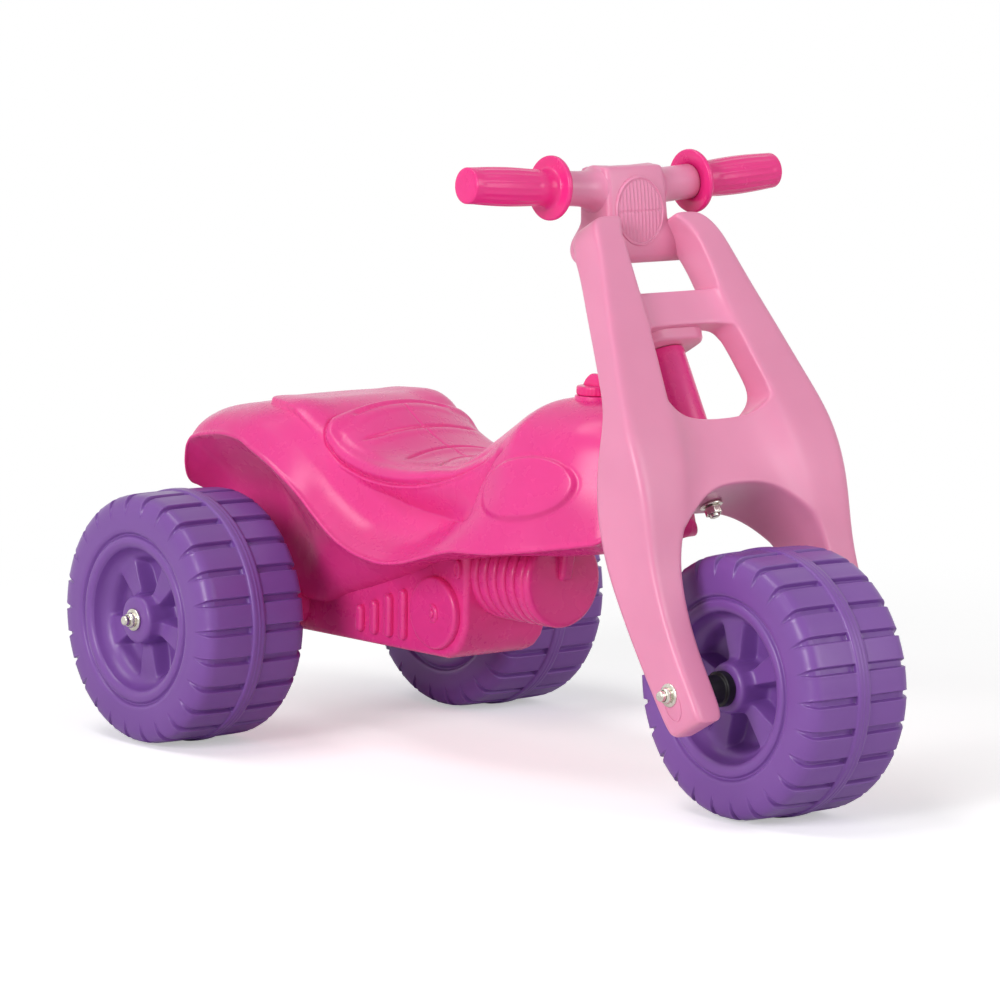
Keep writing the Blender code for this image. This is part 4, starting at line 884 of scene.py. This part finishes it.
def pill(name, x, low, high, side):
    """Upright bar with round ends on the side of the block."""
    outline = []
    for middle, start in ((high - BAR_HALF, 0.0), (low + BAR_HALF, pi)):
        for k in range(9):
            angle = start + pi * k / 8
            outline.append((x + BAR_HALF * cos(angle), middle + BAR_HALF * sin(angle)))
    low, high = sorted((side * (BLOCK_HALF - SUNK), side * (BLOCK_HALF + BAR_RELIEF)))
    return prism(name, raised(outline), low, high, 0.0032, 5)


def boss_arc(name, radius, thick, face, side):
    """Raised arc that opens to the rear, on the middle of the cover."""
    sections = []
    for degrees in np.linspace(-BOSS_DEGREES, BOSS_DEGREES, 27):
        turn = radians(degrees)
        end = 0.15
        if abs(degrees) < BOSS_DEGREES - 0.1:
            end = sin(pi * (degrees + BOSS_DEGREES) / (2 * BOSS_DEGREES)) ** 0.3
        ring = []
        for k in range(16):
            angle = tau * k / 16
            reach = radius + thick * end * cos(angle)
            ring.append((reach * cos(turn), reach * sin(turn) * -side, face + thick * end * sin(angle)))
        sections.append(ring)
    return put(fix_normals(grid_object(name, np.array(sections))), place_side(*COVER, side))


def make_engine():
    parts = [prism("engine_block", raised(BLOCK_OUTLINE), -BLOCK_HALF, BLOCK_HALF, 0.005, 5)]
    for side, hand in HANDS:
        base = BLOCK_HALF - SUNK
        face = BLOCK_HALF + COVER_RELIEF
        disc = soft_corners([(0.0, base), (0.0294, base), (0.0288, face), (0.0225, face + 0.0002),
                             (0.0, face - 0.0006)], 0.0044, 6)
        parts.append(turned("cover_" + hand, disc, 96, place_side(*COVER, side)))
        parts.append(boss_arc("cover_boss_" + hand, 0.0062, 0.0024, face, side))
        parts.append(boss_arc("cover_core_" + hand, 0.0019, 0.0021, face + 0.0006, side))
        for k, (x, top) in enumerate(BARS):
            parts.append(pill(f"bar_{hand}_{k}", x, BAR_FOOT, top, side))
        stud = soft_corners([(0.0, base), (0.0054, base), (0.0052, BLOCK_HALF + 0.003),
                             (0.0036, BLOCK_HALF + 0.0032), (0.0034, BLOCK_HALF + 0.0022),
                             (0.0, BLOCK_HALF + 0.0028)], 0.0009)
        oval = place_side(0.209, 0.1515, side) @ Matrix.Diagonal((0.72, 1.45, 1.0, 1.0))
        parts.append(turned("stud_" + hand, stud, 40, oval))
    for part in parts:
        on_body(part)


def make_drum():
    """Cylinder under the tank: six soft fins and a smooth front disc."""
    x = np.linspace(DRUM_REAR, 0.283, 150)
    phase = (x - FIRST_FIN) / FIN_PITCH
    near = np.abs(phase - np.round(phase))
    in_fins = smooth_step(0.2125, 0.215, x) * (1 - smooth_step(0.2798, 0.2815, x))
    fin = FIN_HEIGHT * np.sqrt(np.clip(1 - (near / FIN_SHARE) ** 4, 0, 1))
    radius = DRUM_RADIUS + fin * in_fins + 0.0043 * smooth_step(0.28, 0.2818, x)
    profile = [(0.0, DRUM_REAR)] + list(zip(radius, x))
    profile += [(0.0375, 0.2845), (0.0371, 0.286), (0.0362, 0.2871), (0.035, 0.2878), (0.033, 0.288),
                (0.02, 0.2881), (0.0, 0.2881)]
    on_body(turned("finned_drum", profile, 96, placed(REAR_X, 0.0, DRUM_HEIGHT + LIFT, pi / 2, "Y")))
    on_body(prism("drum_bracket", raised(BRACKET_OUTLINE), -BRACKET_HALF, BRACKET_HALF, 0.0034, 6))


def make_tube():
    """Head tube, the web that carries it, the rear axle's boss and the cap's seat."""
    tube = cylinder(0.0175, TUBE_BOTTOM, TUBE_TOP, 0.0012)
    on_body(turned("head_tube", tube, 72, fork_place()))
    web = rounded_rectangle(-0.055, -0.009, 0.0125, 0.005)
    heights = np.linspace(TUBE_BOTTOM + 0.003, TUBE_TOP - 0.027, 8)
    on_body(lofted("tube_web", [(web, height) for height in heights], fork_place()))
    end = HUB_INSIDE - HUB_GAP
    on_body(turned("axle_boss", cylinder(0.0165, -end, end, 0.002), 72, axle_place(REAR_X)))
    seat = cylinder(0.0169, CAP_SEAT - 0.012, CAP_SEAT, 0.001)
    place = Matrix.Translation((along(CAP_ALONG), 0.0, LIFT))
    on_body(turned("cap_seat", seat, 64, place))


WING_SECTIONS = mm(
    (6, 14, 4.3), (8.5, 13.2, 4), (11.5, 11.2, 3.4), (14, 8.6, 2.7), (15.6, 6.2, 2.1), (16.3, 4, 1.3))
KNURLS = 28
KNURL_DEPTH = 0.0003


def make_cap():
    """Knurled disc with a finger wing across it."""
    place = Matrix.Translation((along(CAP_ALONG), 0.0, CAP_SEAT + LIFT + FIT))
    profile = soft_corners([(0.0, -0.01), (0.007, -0.01), (0.007, 0.0), (0.0157, 0.0),
                            (0.0157, 0.007), (0.012, 0.0074), (0.0, 0.0076)], 0.0017)

    def knurl(radius, height, angle):
        band = smooth_step(0.0148, 0.0156, radius) * (height > 0.0004) * (height < 0.0062)
        return -KNURL_DEPTH * (0.5 + 0.5 * np.cos(angle * KNURLS)) * band

    cap = turned("fuel_cap_disc", profile, 168, place, knurl)
    dress(cap, "fuel_cap", "bright_pink_plastic", "fuel_cap")
    sections = [(rounded_rectangle(-reach, reach, half, half * 0.95, 5), height)
                for height, reach, half in WING_SECTIONS]
    dress(lofted("fuel_cap_wing", sections, place), "fuel_cap", "bright_pink_plastic")


# Fork: a cage of few corners over legs, crown and crossbar, smoothed round

LEG_ROWS = mm(
    (-32.5, 80, 101.5, -8, 23.5), (-26.5, 78, 103.5, -11.5, 26), (0, 78, 103.5, -14.5, 24.5),
    (40, 78, 103.5, -19, 22), (88, 75, 103.5, -21.5, 27.5), (115, 66.5, 104, -20, 37),
    (150, 60, 105, -12, 48.5), (185, 56, 104.5, 7, 50.5), (212, 52.5, 98.5, 23, 49),
    (236.5, 48.3, 92.5, 22.5, 47), (271.5, 43.5, 84, 19.5, 45), (303.5, 39.8, 75.5, 15.5, 43),
    (333, 38.5, 67.5, 12.5, 42.5), (352, 36, 63.5, 8, 41), (364, 30, 58.5, 6, 38), (372, 24, 52, 8, 34))
CROWN_ROWS = (5, 6, 7, 8)
CROWN_BACK = -0.0235
CROWN_FRONT = 0.0415
CROWN_COLUMNS = (("mid", 0.035, (0.144, 0.162, 0.18, 0.2)),
                 ("axis", 0.0, (0.146, 0.163, 0.18, 0.198)))
CROSSBAR_ROWS = (10, 11)
CROSSBAR_MID = 0.035
EDGE_CREASE = 0.57
OUTER_CREASE = 0.46
TOP_CREASE = 0.45
RIDGE_CREASE = 0.4
TOP_ROWS = 13
CROSSBAR_SET_BACK = 0.01
CROSSBAR_RISE = (0.007, 0.0035)


def fork_cage():
    """Both legs, crown and crossbar as one moulding; creased edges stay sharper."""
    half = {}
    for row, (axial, inner, outer, back, front) in enumerate(LEG_ROWS):
        half["in", row] = (inner, axial, back, front)
        half["out", row] = (outer, axial, back, front)
    for name, lateral, heights in CROWN_COLUMNS:
        for row, axial in zip(CROWN_ROWS, heights):
            half[name, row] = (lateral, axial, CROWN_BACK, CROWN_FRONT)
    for name, lateral in (("mid", CROSSBAR_MID), ("axis", 0.0)):
        for row, rise in zip(CROSSBAR_ROWS, CROSSBAR_RISE):
            axial, back, front = half["in", row][1:]
            half[name, row] = (lateral, axial + rise, back, front - CROSSBAR_SET_BACK)
    cells = [(("in", r), ("out", r), ("out", r + 1), ("in", r + 1)) for r in range(len(LEG_ROWS) - 1)]
    for rows in (CROWN_ROWS, CROSSBAR_ROWS):
        for r in rows[:-1]:
            cells.append((("mid", r), ("in", r), ("in", r + 1), ("mid", r + 1)))
            cells.append((("axis", r), ("mid", r), ("mid", r + 1), ("axis", r + 1)))
    index = {}
    vertices = []

    def corner(key, side, layer):
        side = 1 if key[0] == "axis" else side
        if (key, side, layer) not in index:
            lateral, axial, back, front = half[key]
            index[key, side, layer] = len(vertices)
            vertices.append((front if layer else back, side * lateral, axial))
        return index[key, side, layer]

    faces = []
    walls = {}
    for side in (1, -1):
        for cell in cells:
            for layer in (0, 1):
                faces.append(tuple(corner(key, side, layer) for key in cell))
            for a, b in zip(cell, cell[1:] + cell[:1]):
                wall = (corner(a, side, 1), corner(b, side, 1), corner(b, side, 0), corner(a, side, 0))
                soft = a[0] == "out" and b[0] == "out"
                walls.setdefault(frozenset(wall[:2]), []).append((wall, soft))
    rim = [found[0] for found in walls.values() if len(found) == 1]
    faces += [wall for wall, soft in rim]
    made = fix_normals(mesh_object("fork_moulding", vertices, faces))
    creased = {}
    for (a, b, c, d), soft in rim:
        creased[frozenset((a, b))] = OUTER_CREASE if soft else EDGE_CREASE
        creased[frozenset((c, d))] = EDGE_CREASE
    for rows in (CROWN_ROWS, CROSSBAR_ROWS):
        for row in rows[:-1]:
            for side in (1, -1):
                ridge = frozenset(corner(("in", r), side, 1) for r in (row, row + 1))
                creased[ridge] = RIDGE_CREASE
    top_height = LEG_ROWS[TOP_ROWS][0]
    crease = made.data.attributes.new("crease_edge", "FLOAT", "EDGE")
    for edge in made.data.edges:
        value = creased.get(frozenset(edge.vertices), 0.0)
        high = max(vertices[k][2] for k in edge.vertices) > top_height
        crease.data[edge.index].value = min(value, TOP_CREASE) if high else value
    smooth = made.modifiers.new("smooth", "SUBSURF")
    smooth.levels = 4
    smooth.render_levels = 4
    return put(made, fork_place())


BLOCK_SECTIONS = mm(
    (-56, -4, 15, 46, 6), (-50.5, -12, 19.5, 46, 7), (-38, -18, 20.6, 41, 7), (-22, -17, 20.2, 30.5, 5),
    (0, -16.5, 19.5, 29.5, 4.5), (15.2, -15.5, 17.5, 29, 4.5), (17.8, -14.8, 16, 28.2, 4.5),
    (19, -13, 12, 26, 4.5))
LENS_RADIUS = 0.0233
LENS_STEPS = 110
RIB_HEIGHT = 0.00032
RIB_PITCH = 0.0038


def make_block():
    """Rounded block that carries the bar and the lamp."""
    rows = np.array(BLOCK_SECTIONS)
    heights = np.concatenate([np.linspace(rows[0, 0], 0.016, 40), [0.0166, 0.0172, 0.0178, 0.0184, 0.019]])
    columns = [rail(rows[:, (0, k)], heights) for k in range(1, 5)]
    sections = [(rounded_rectangle(*measures), height)
                for height, *measures in zip(heights, *columns)]
    on_fork(lofted("headlight_block", sections, block_place()))


def make_lamp():
    """Round lamp moulded on the block: a soft ring and a ribbed lens."""
    oval = Matrix.Diagonal((1.06, 0.95, 1.0, 1.0))
    place = block_place() @ placed(0.0, 0.0, -0.0165, pi / 2, "Y") @ oval
    ring = soft_corners([(0.0, 0.012), (0.0256, 0.012), (0.0254, 0.0204), (0.0247, 0.0216),
                         (0.0239, 0.0216), (0.0236, 0.0207), (0.0, 0.0207)], 0.001, 4)
    on_fork(turned("lamp_ring", ring, 96, place))
    span = np.linspace(-LENS_RADIUS, LENS_RADIUS, LENS_STEPS)
    up, across = np.meshgrid(span, span, indexing="ij")
    reach = np.hypot(up, across)
    scale = np.minimum(1.0, LENS_RADIUS / np.maximum(reach, 1e-6))
    up, across = up * scale, across * scale
    reach = np.minimum(reach, LENS_RADIUS)
    dome = 0.0211 + 0.0009 * (1 - (reach / LENS_RADIUS) ** 2)
    within = 1 - smooth_step(0.0218, 0.023, reach)
    ribs = RIB_HEIGHT * np.cos(across / RIB_PITCH * tau)
    line = -0.0007 * bell(up, 0.0007)
    height = dome + (ribs + line) * within - 0.0006 * bell(reach - 0.0229, 0.0006)
    points = np.stack([-up, across, height], axis=2).reshape(-1, 3)
    faces = grid_faces(LENS_STEPS, LENS_STEPS, closed=False)
    on_fork(put(fix_normals(mesh_object("lamp_lens", points, faces)), place))


def make_bars():
    """Handlebar stubs that flare into the block and carry the grips."""
    profile = soft_corners(mm(
        (0, 10), (18.5, 10), (18.3, 29), (16.8, 30.5), (15.5, 33), (14.5, 36.5), (13.8, 40.5),
        (13.5, 45), (13.5, 68.6), (10.8, 68.7), (10.8, 149), (0, 149)), 0.0006, 2)
    for side, hand in HANDS:
        on_fork(turned("bar_stub_" + hand, profile, 64, bar_place(side)))


LUG_SHRINK = mm((270, 5), (270.6, 3.6), (272.2, 2.6), (286, 0.4), (299.6, -1), (300.4, 1))


def make_lug():
    """Rounded foot of the crossbar over the top of the head tube, narrower downwards."""
    sections = []
    for height, shrink in LUG_SHRINK:
        flat = rounded_rectangle(-0.021 + shrink, 0.03 - shrink, 0.033 - shrink, 0.02 - shrink, 10)
        sections.append((flat, height))
    on_fork(lofted("crossbar_lug", sections, fork_place()))


def make_leg_marks():
    """Raised oval line on the outside of each leg's foot, just below the axle."""
    for side, hand in HANDS:
        oval = Matrix.Diagonal((1.0, 1.45, 1.0, 1.0))
        place = fork_place() @ placed(0.004, 0.0, -0.0105, -side * pi / 2, "X") @ oval
        face = LEG_OUTER - 0.0006
        ring = soft_corners([(0.0076, face - 0.001), (0.0078, face + 0.0012), (0.0086, face + 0.0012),
                             (0.0088, face - 0.001)], 0.0003, 2)
        on_fork(turned("leg_mark_" + hand, ring, 48, place))


def make_fork():
    on_fork(fork_cage(), "fork_frame")
    make_block()
    make_lamp()
    make_bars()
    make_lug()
    make_leg_marks()


FLUTES = 18
FLUTE_DEPTH = 0.00045


def make_grips():
    """Grips with a hand guard, a short neck and shallow flutes along the hold."""
    hold = curve(mm((13.9, 85), (14.3, 93), (14.9, 108), (15, 119.5), (14.6, 136.5), (13.9, 150)), 8)
    guard = soft_corners(mm((11.1, 69), (24.8, 69), (24.8, 73.5), (16, 73.8), (14.3, 76), (13.6, 80),
                            (13.9, 85)), 0.0019, 4)
    end = soft_corners(mm((13.9, 150), (13.8, 154), (11.8, 154.6), (0, 154.9)), 0.0018, 4)
    profile = [(0.0, 0.152), (0.0111, 0.152), *guard[:-1], *hold, *end[1:]]

    def flutes(radius, height, angle):
        hold_part = smooth_step(0.088, 0.094, height) * (1 - smooth_step(0.144, 0.149, height))
        groove = (0.5 - 0.5 * np.cos(angle * FLUTES)) ** 0.7
        return -FLUTE_DEPTH * groove * hold_part * (radius > 0.0125)

    for side, hand in HANDS:
        grip = turned(hand + "_grip_cover", profile, 216, bar_place(side), flutes)
        dress(grip, "fork", "bright_pink_plastic", hand + "_grip")


# Axle ends, spacers and steering hardware

ROD_RADIUS = 0.004
ROD_TIP_RADIUS = 0.0032
WASHER_RADIUS = 0.0092
WASHER_THICK = 0.0016
WASHER_STEPS = ((WASHER_RADIUS, 0.0), (0.0089, WASHER_THICK), (0.007, 0.0021))
PUSH_NUT_STEPS = mm((6.2, 0), (6.2, 2.6), (5, 4.6))
PUSH_NUT_THICK = 0.0048
ROD_SHOWS = 0.0038
STEERING_NUT_THICK = 0.0065
STEERING_ROD_SHOWS = 0.0024
LUG_TOP = 0.3005
CROWN_UNDERSIDE = 0.1447


def ring_profile(start, steps, corner, segments, side=1):
    """Ring round the bore from (radius, height) pairs above its start, with soft corners."""
    outline = [(BORE_RADIUS, 0.0), *steps, (BORE_RADIUS, steps[-1][1]), (BORE_RADIUS, 0.0)]
    outline = soft_corners([(radius, start + height) for radius, height in outline], corner, segments)
    return [(radius, side * height) for radius, height in outline[:-1]]


def nut_notches(radius, height, angle):
    return -0.0006 * smooth_step(0.55, 0.8, np.cos(angle * 3)) * (radius > 0.0055)


def make_axles():
    """Each axle's rod with a washer and a push nut at both ends."""
    for name, x, reach, body in (("rear", REAR_X, TRACK / 2 + HUB_HALF_WIDTH + HUB_GAP, "body"),
                                 ("front", FRONT_X, LEG_OUTER - HUB_GAP, "fork")):
        end = reach + FIT + WASHER_THICK + FIT + PUSH_NUT_THICK + ROD_SHOWS
        profile = soft_corners([(0.0, -end), (ROD_TIP_RADIUS, -end), (ROD_RADIUS, -end + 0.001),
                                (ROD_RADIUS, end - 0.001), (ROD_TIP_RADIUS, end), (0.0, end)], 0.0005)
        in_steel(turned(name + "_axle_rod", profile, 48, axle_place(x)), body, name + "_axle")
        for side, hand in HANDS:
            base = f"{name}_{hand}_"
            washer = ring_profile(reach + FIT, WASHER_STEPS, 0.0006, 3, side)
            in_steel(turned(base + "washer_disc", washer, 56, axle_place(x)), body, base + "washer")
            nut = ring_profile(reach + FIT + WASHER_THICK + FIT, PUSH_NUT_STEPS, 0.0007, 3, side)
            nut = turned(base + "push_nut_ring", nut, 72, axle_place(x), nut_notches)
            in_steel(nut, body, base + "push_nut")


def make_spacers():
    """Collars between the front wheel's hub and the legs."""
    for side, hand in HANDS:
        start = HUB_HALF_WIDTH + HUB_GAP
        steps = ((0.0135, 0.0), (0.0135, 0.007), (0.0112, 0.0076), (0.0104, LEG_INNER + FIT - start))
        outline = ring_profile(start, steps, 0.0008, 3, side)
        spacer = turned(f"front_{hand}_spacer_collar", outline, 96, axle_place(FRONT_X))
        dress(spacer, "fork", "black_plastic", f"front_{hand}_spacer")


def make_steering():
    """Bolt down the steering axis, a washer at each end and the nut below."""
    upper = LUG_TOP + FIT
    lower = CROWN_UNDERSIDE - FIT - WASHER_THICK
    place = fork_place()
    for name, start in (("upper", upper), ("lower", lower)):
        ring = ring_profile(start, ((WASHER_RADIUS, 0.0), (WASHER_RADIUS, WASHER_THICK)), 0.0005, 2)
        in_steel(turned(f"steering_{name}_washer_disc", ring, 48, place), "fork",
                 f"steering_{name}_washer")
    head = upper + WASHER_THICK + FIT
    top = lower - FIT
    foot = top - STEERING_NUT_THICK
    end = foot - STEERING_ROD_SHOWS
    bolt = soft_corners([(0.0, end), (ROD_TIP_RADIUS, end), (ROD_RADIUS, end + 0.0008),
                         (ROD_RADIUS, head), (0.009, head), (0.0072, head + 0.0032),
                         (0.0036, head + 0.0045), (0.0, head + 0.0045)], 0.0008)
    in_steel(turned("steering_bolt_rod", bolt, 48, place), "fork", "steering_bolt")
    nut = soft_corners([(0.0047, foot), (0.0062, foot), (0.0068, foot + 0.0006), (0.0068, top - 0.0006),
                        (0.0062, top), (0.0047, top), (0.0047, foot)], 0.0004, 2)

    def six_sides(radius, height, angle):
        fold = (angle + pi / 6) % (pi / 3) - pi / 6
        return (radius > 0.0055) * radius * (cos(pi / 6) / np.cos(fold) - 1)

    in_steel(turned("steering_nut_body", nut[:-1], 72, place, six_sides), "fork", "steering_nut")


# Floor, lights and camera

WORLD_LIGHT = 0.25
FLOOR_REACH = 14.0
FLOOR_GLOW = 0.42
FLOOR_FADE = (0.55, 1.3)
LAMP_AIM = (0.0, 0.0, 0.2)
LAMPS = (("key", (1.2, -3.8, 1.6), (1.5, 1.5), 93.0),
         ("fill", (3.3, 1.4, 1.7), (2.0, 2.0), 46.0),
         ("top", (-0.4, -1.2, 3.0), (2.0, 0.9), 28.0))
CAMERA_PLACE = (3.45124805, -2.89358876, 0.79579295)
CAMERA_TURN = (-0.881321221, -0.129045629, 0.0106965517)
FILM_WIDTH = 36.0
FOCAL_LENGTH = 208.4796


def seen_rays(tree, ray):
    """One for the rays that show the backdrop: camera, glossy and transmission."""
    seen = reckon(tree, "MAXIMUM", ray.outputs["Is Camera Ray"], ray.outputs["Is Glossy Ray"])
    return reckon(tree, "MAXIMUM", seen, ray.outputs["Is Transmission Ray"])


def make_floor():
    far = FLOOR_REACH
    floor = mesh_object("floor", [(-far, -far, 0), (far, -far, 0), (far, far, 0), (-far, far, 0)],
                        [(0, 1, 2, 3)])
    made, tree, shader = shader_tree("pale_floor")
    place = add_node(tree, "TexCoord")
    tint = ramp(tree, noise(tree, place, 2.0, 4.0), (0.3, 0.9), (0.7, 0.93))
    feed(tree, shader, {"Base Color": tint, "Roughness": 0.9, "Specular IOR Level": 0.0})
    ray = add_node(tree, "LightPath")
    lift = reckon(tree, "MULTIPLY", ray.outputs["Is Camera Ray"], FLOOR_GLOW)
    glow = add_node(tree, "Emission", {"Strength": lift})
    near = add_node(tree, "AddShader", {0: shader.outputs["BSDF"], 1: glow.outputs["Emission"]})
    reach = add_node(tree, "VectorMath", {0: place.outputs["Object"]})
    reach.operation = "LENGTH"
    away = add_node(tree, "MapRange", {"Value": reach.outputs["Value"], "From Min": FLOOR_FADE[0],
                                       "From Max": FLOOR_FADE[1]})
    away.interpolation_type = "SMOOTHSTEP"
    part = reckon(tree, "MULTIPLY", away.outputs["Result"], seen_rays(tree, ray))
    white = add_node(tree, "Emission")
    total = add_node(tree, "MixShader", {0: part, 1: near.outputs["Shader"], 2: white.outputs["Emission"]})
    feed(tree, tree.nodes["Material Output"], {"Surface": total.outputs["Shader"]})
    floor.data.materials.append(made)


def make_world():
    world = bpy.data.worlds.new("studio")
    bpy.context.scene.world = world
    world.use_nodes = True
    tree = world.node_tree
    mix = add_node(tree, "Mix")
    mix.data_type = "FLOAT"
    feed(tree, mix, {"Factor": seen_rays(tree, add_node(tree, "LightPath")), "A": WORLD_LIGHT, "B": 1.0})
    feed(tree, tree.nodes["Background"], {"Color": (1.0, 1.0, 1.0, 1.0),
                                          "Strength": mix.outputs["Result"]})


def make_light(name, place, size, power):
    light = bpy.data.lights.new(name, "AREA")
    light.shape = "RECTANGLE"
    light.size, light.size_y = size
    light.energy = power
    made = linked(name, light)
    made.location = place
    aim = Vector(LAMP_AIM) - Vector(place)
    made.rotation_euler = aim.to_track_quat("-Z", "Y").to_euler()


def make_camera():
    data = bpy.data.cameras.new("camera")
    camera = linked("camera", data)
    yaw, pitch, roll = CAMERA_TURN
    aim = placed(*CAMERA_PLACE, -yaw, "Z") @ Matrix.Rotation(pi / 2 + pitch, 4, "X")
    camera.matrix_world = aim @ Matrix.Rotation(roll, 4, "Z")
    data.sensor_width = FILM_WIDTH
    data.lens = FOCAL_LENGTH
    data.clip_start = 0.1
    data.clip_end = 60.0
    bpy.context.scene.camera = camera


def main():
    make_wheels()
    make_body_skin()
    make_engine()
    make_drum()
    make_tube()
    make_cap()
    make_fork()
    make_grips()
    make_axles()
    make_spacers()
    make_steering()
    make_floor()
    make_world()
    for lamp in LAMPS:
        make_light(*lamp)
    make_camera()
    bpy.context.scene.view_settings.view_transform = "Standard"


main()
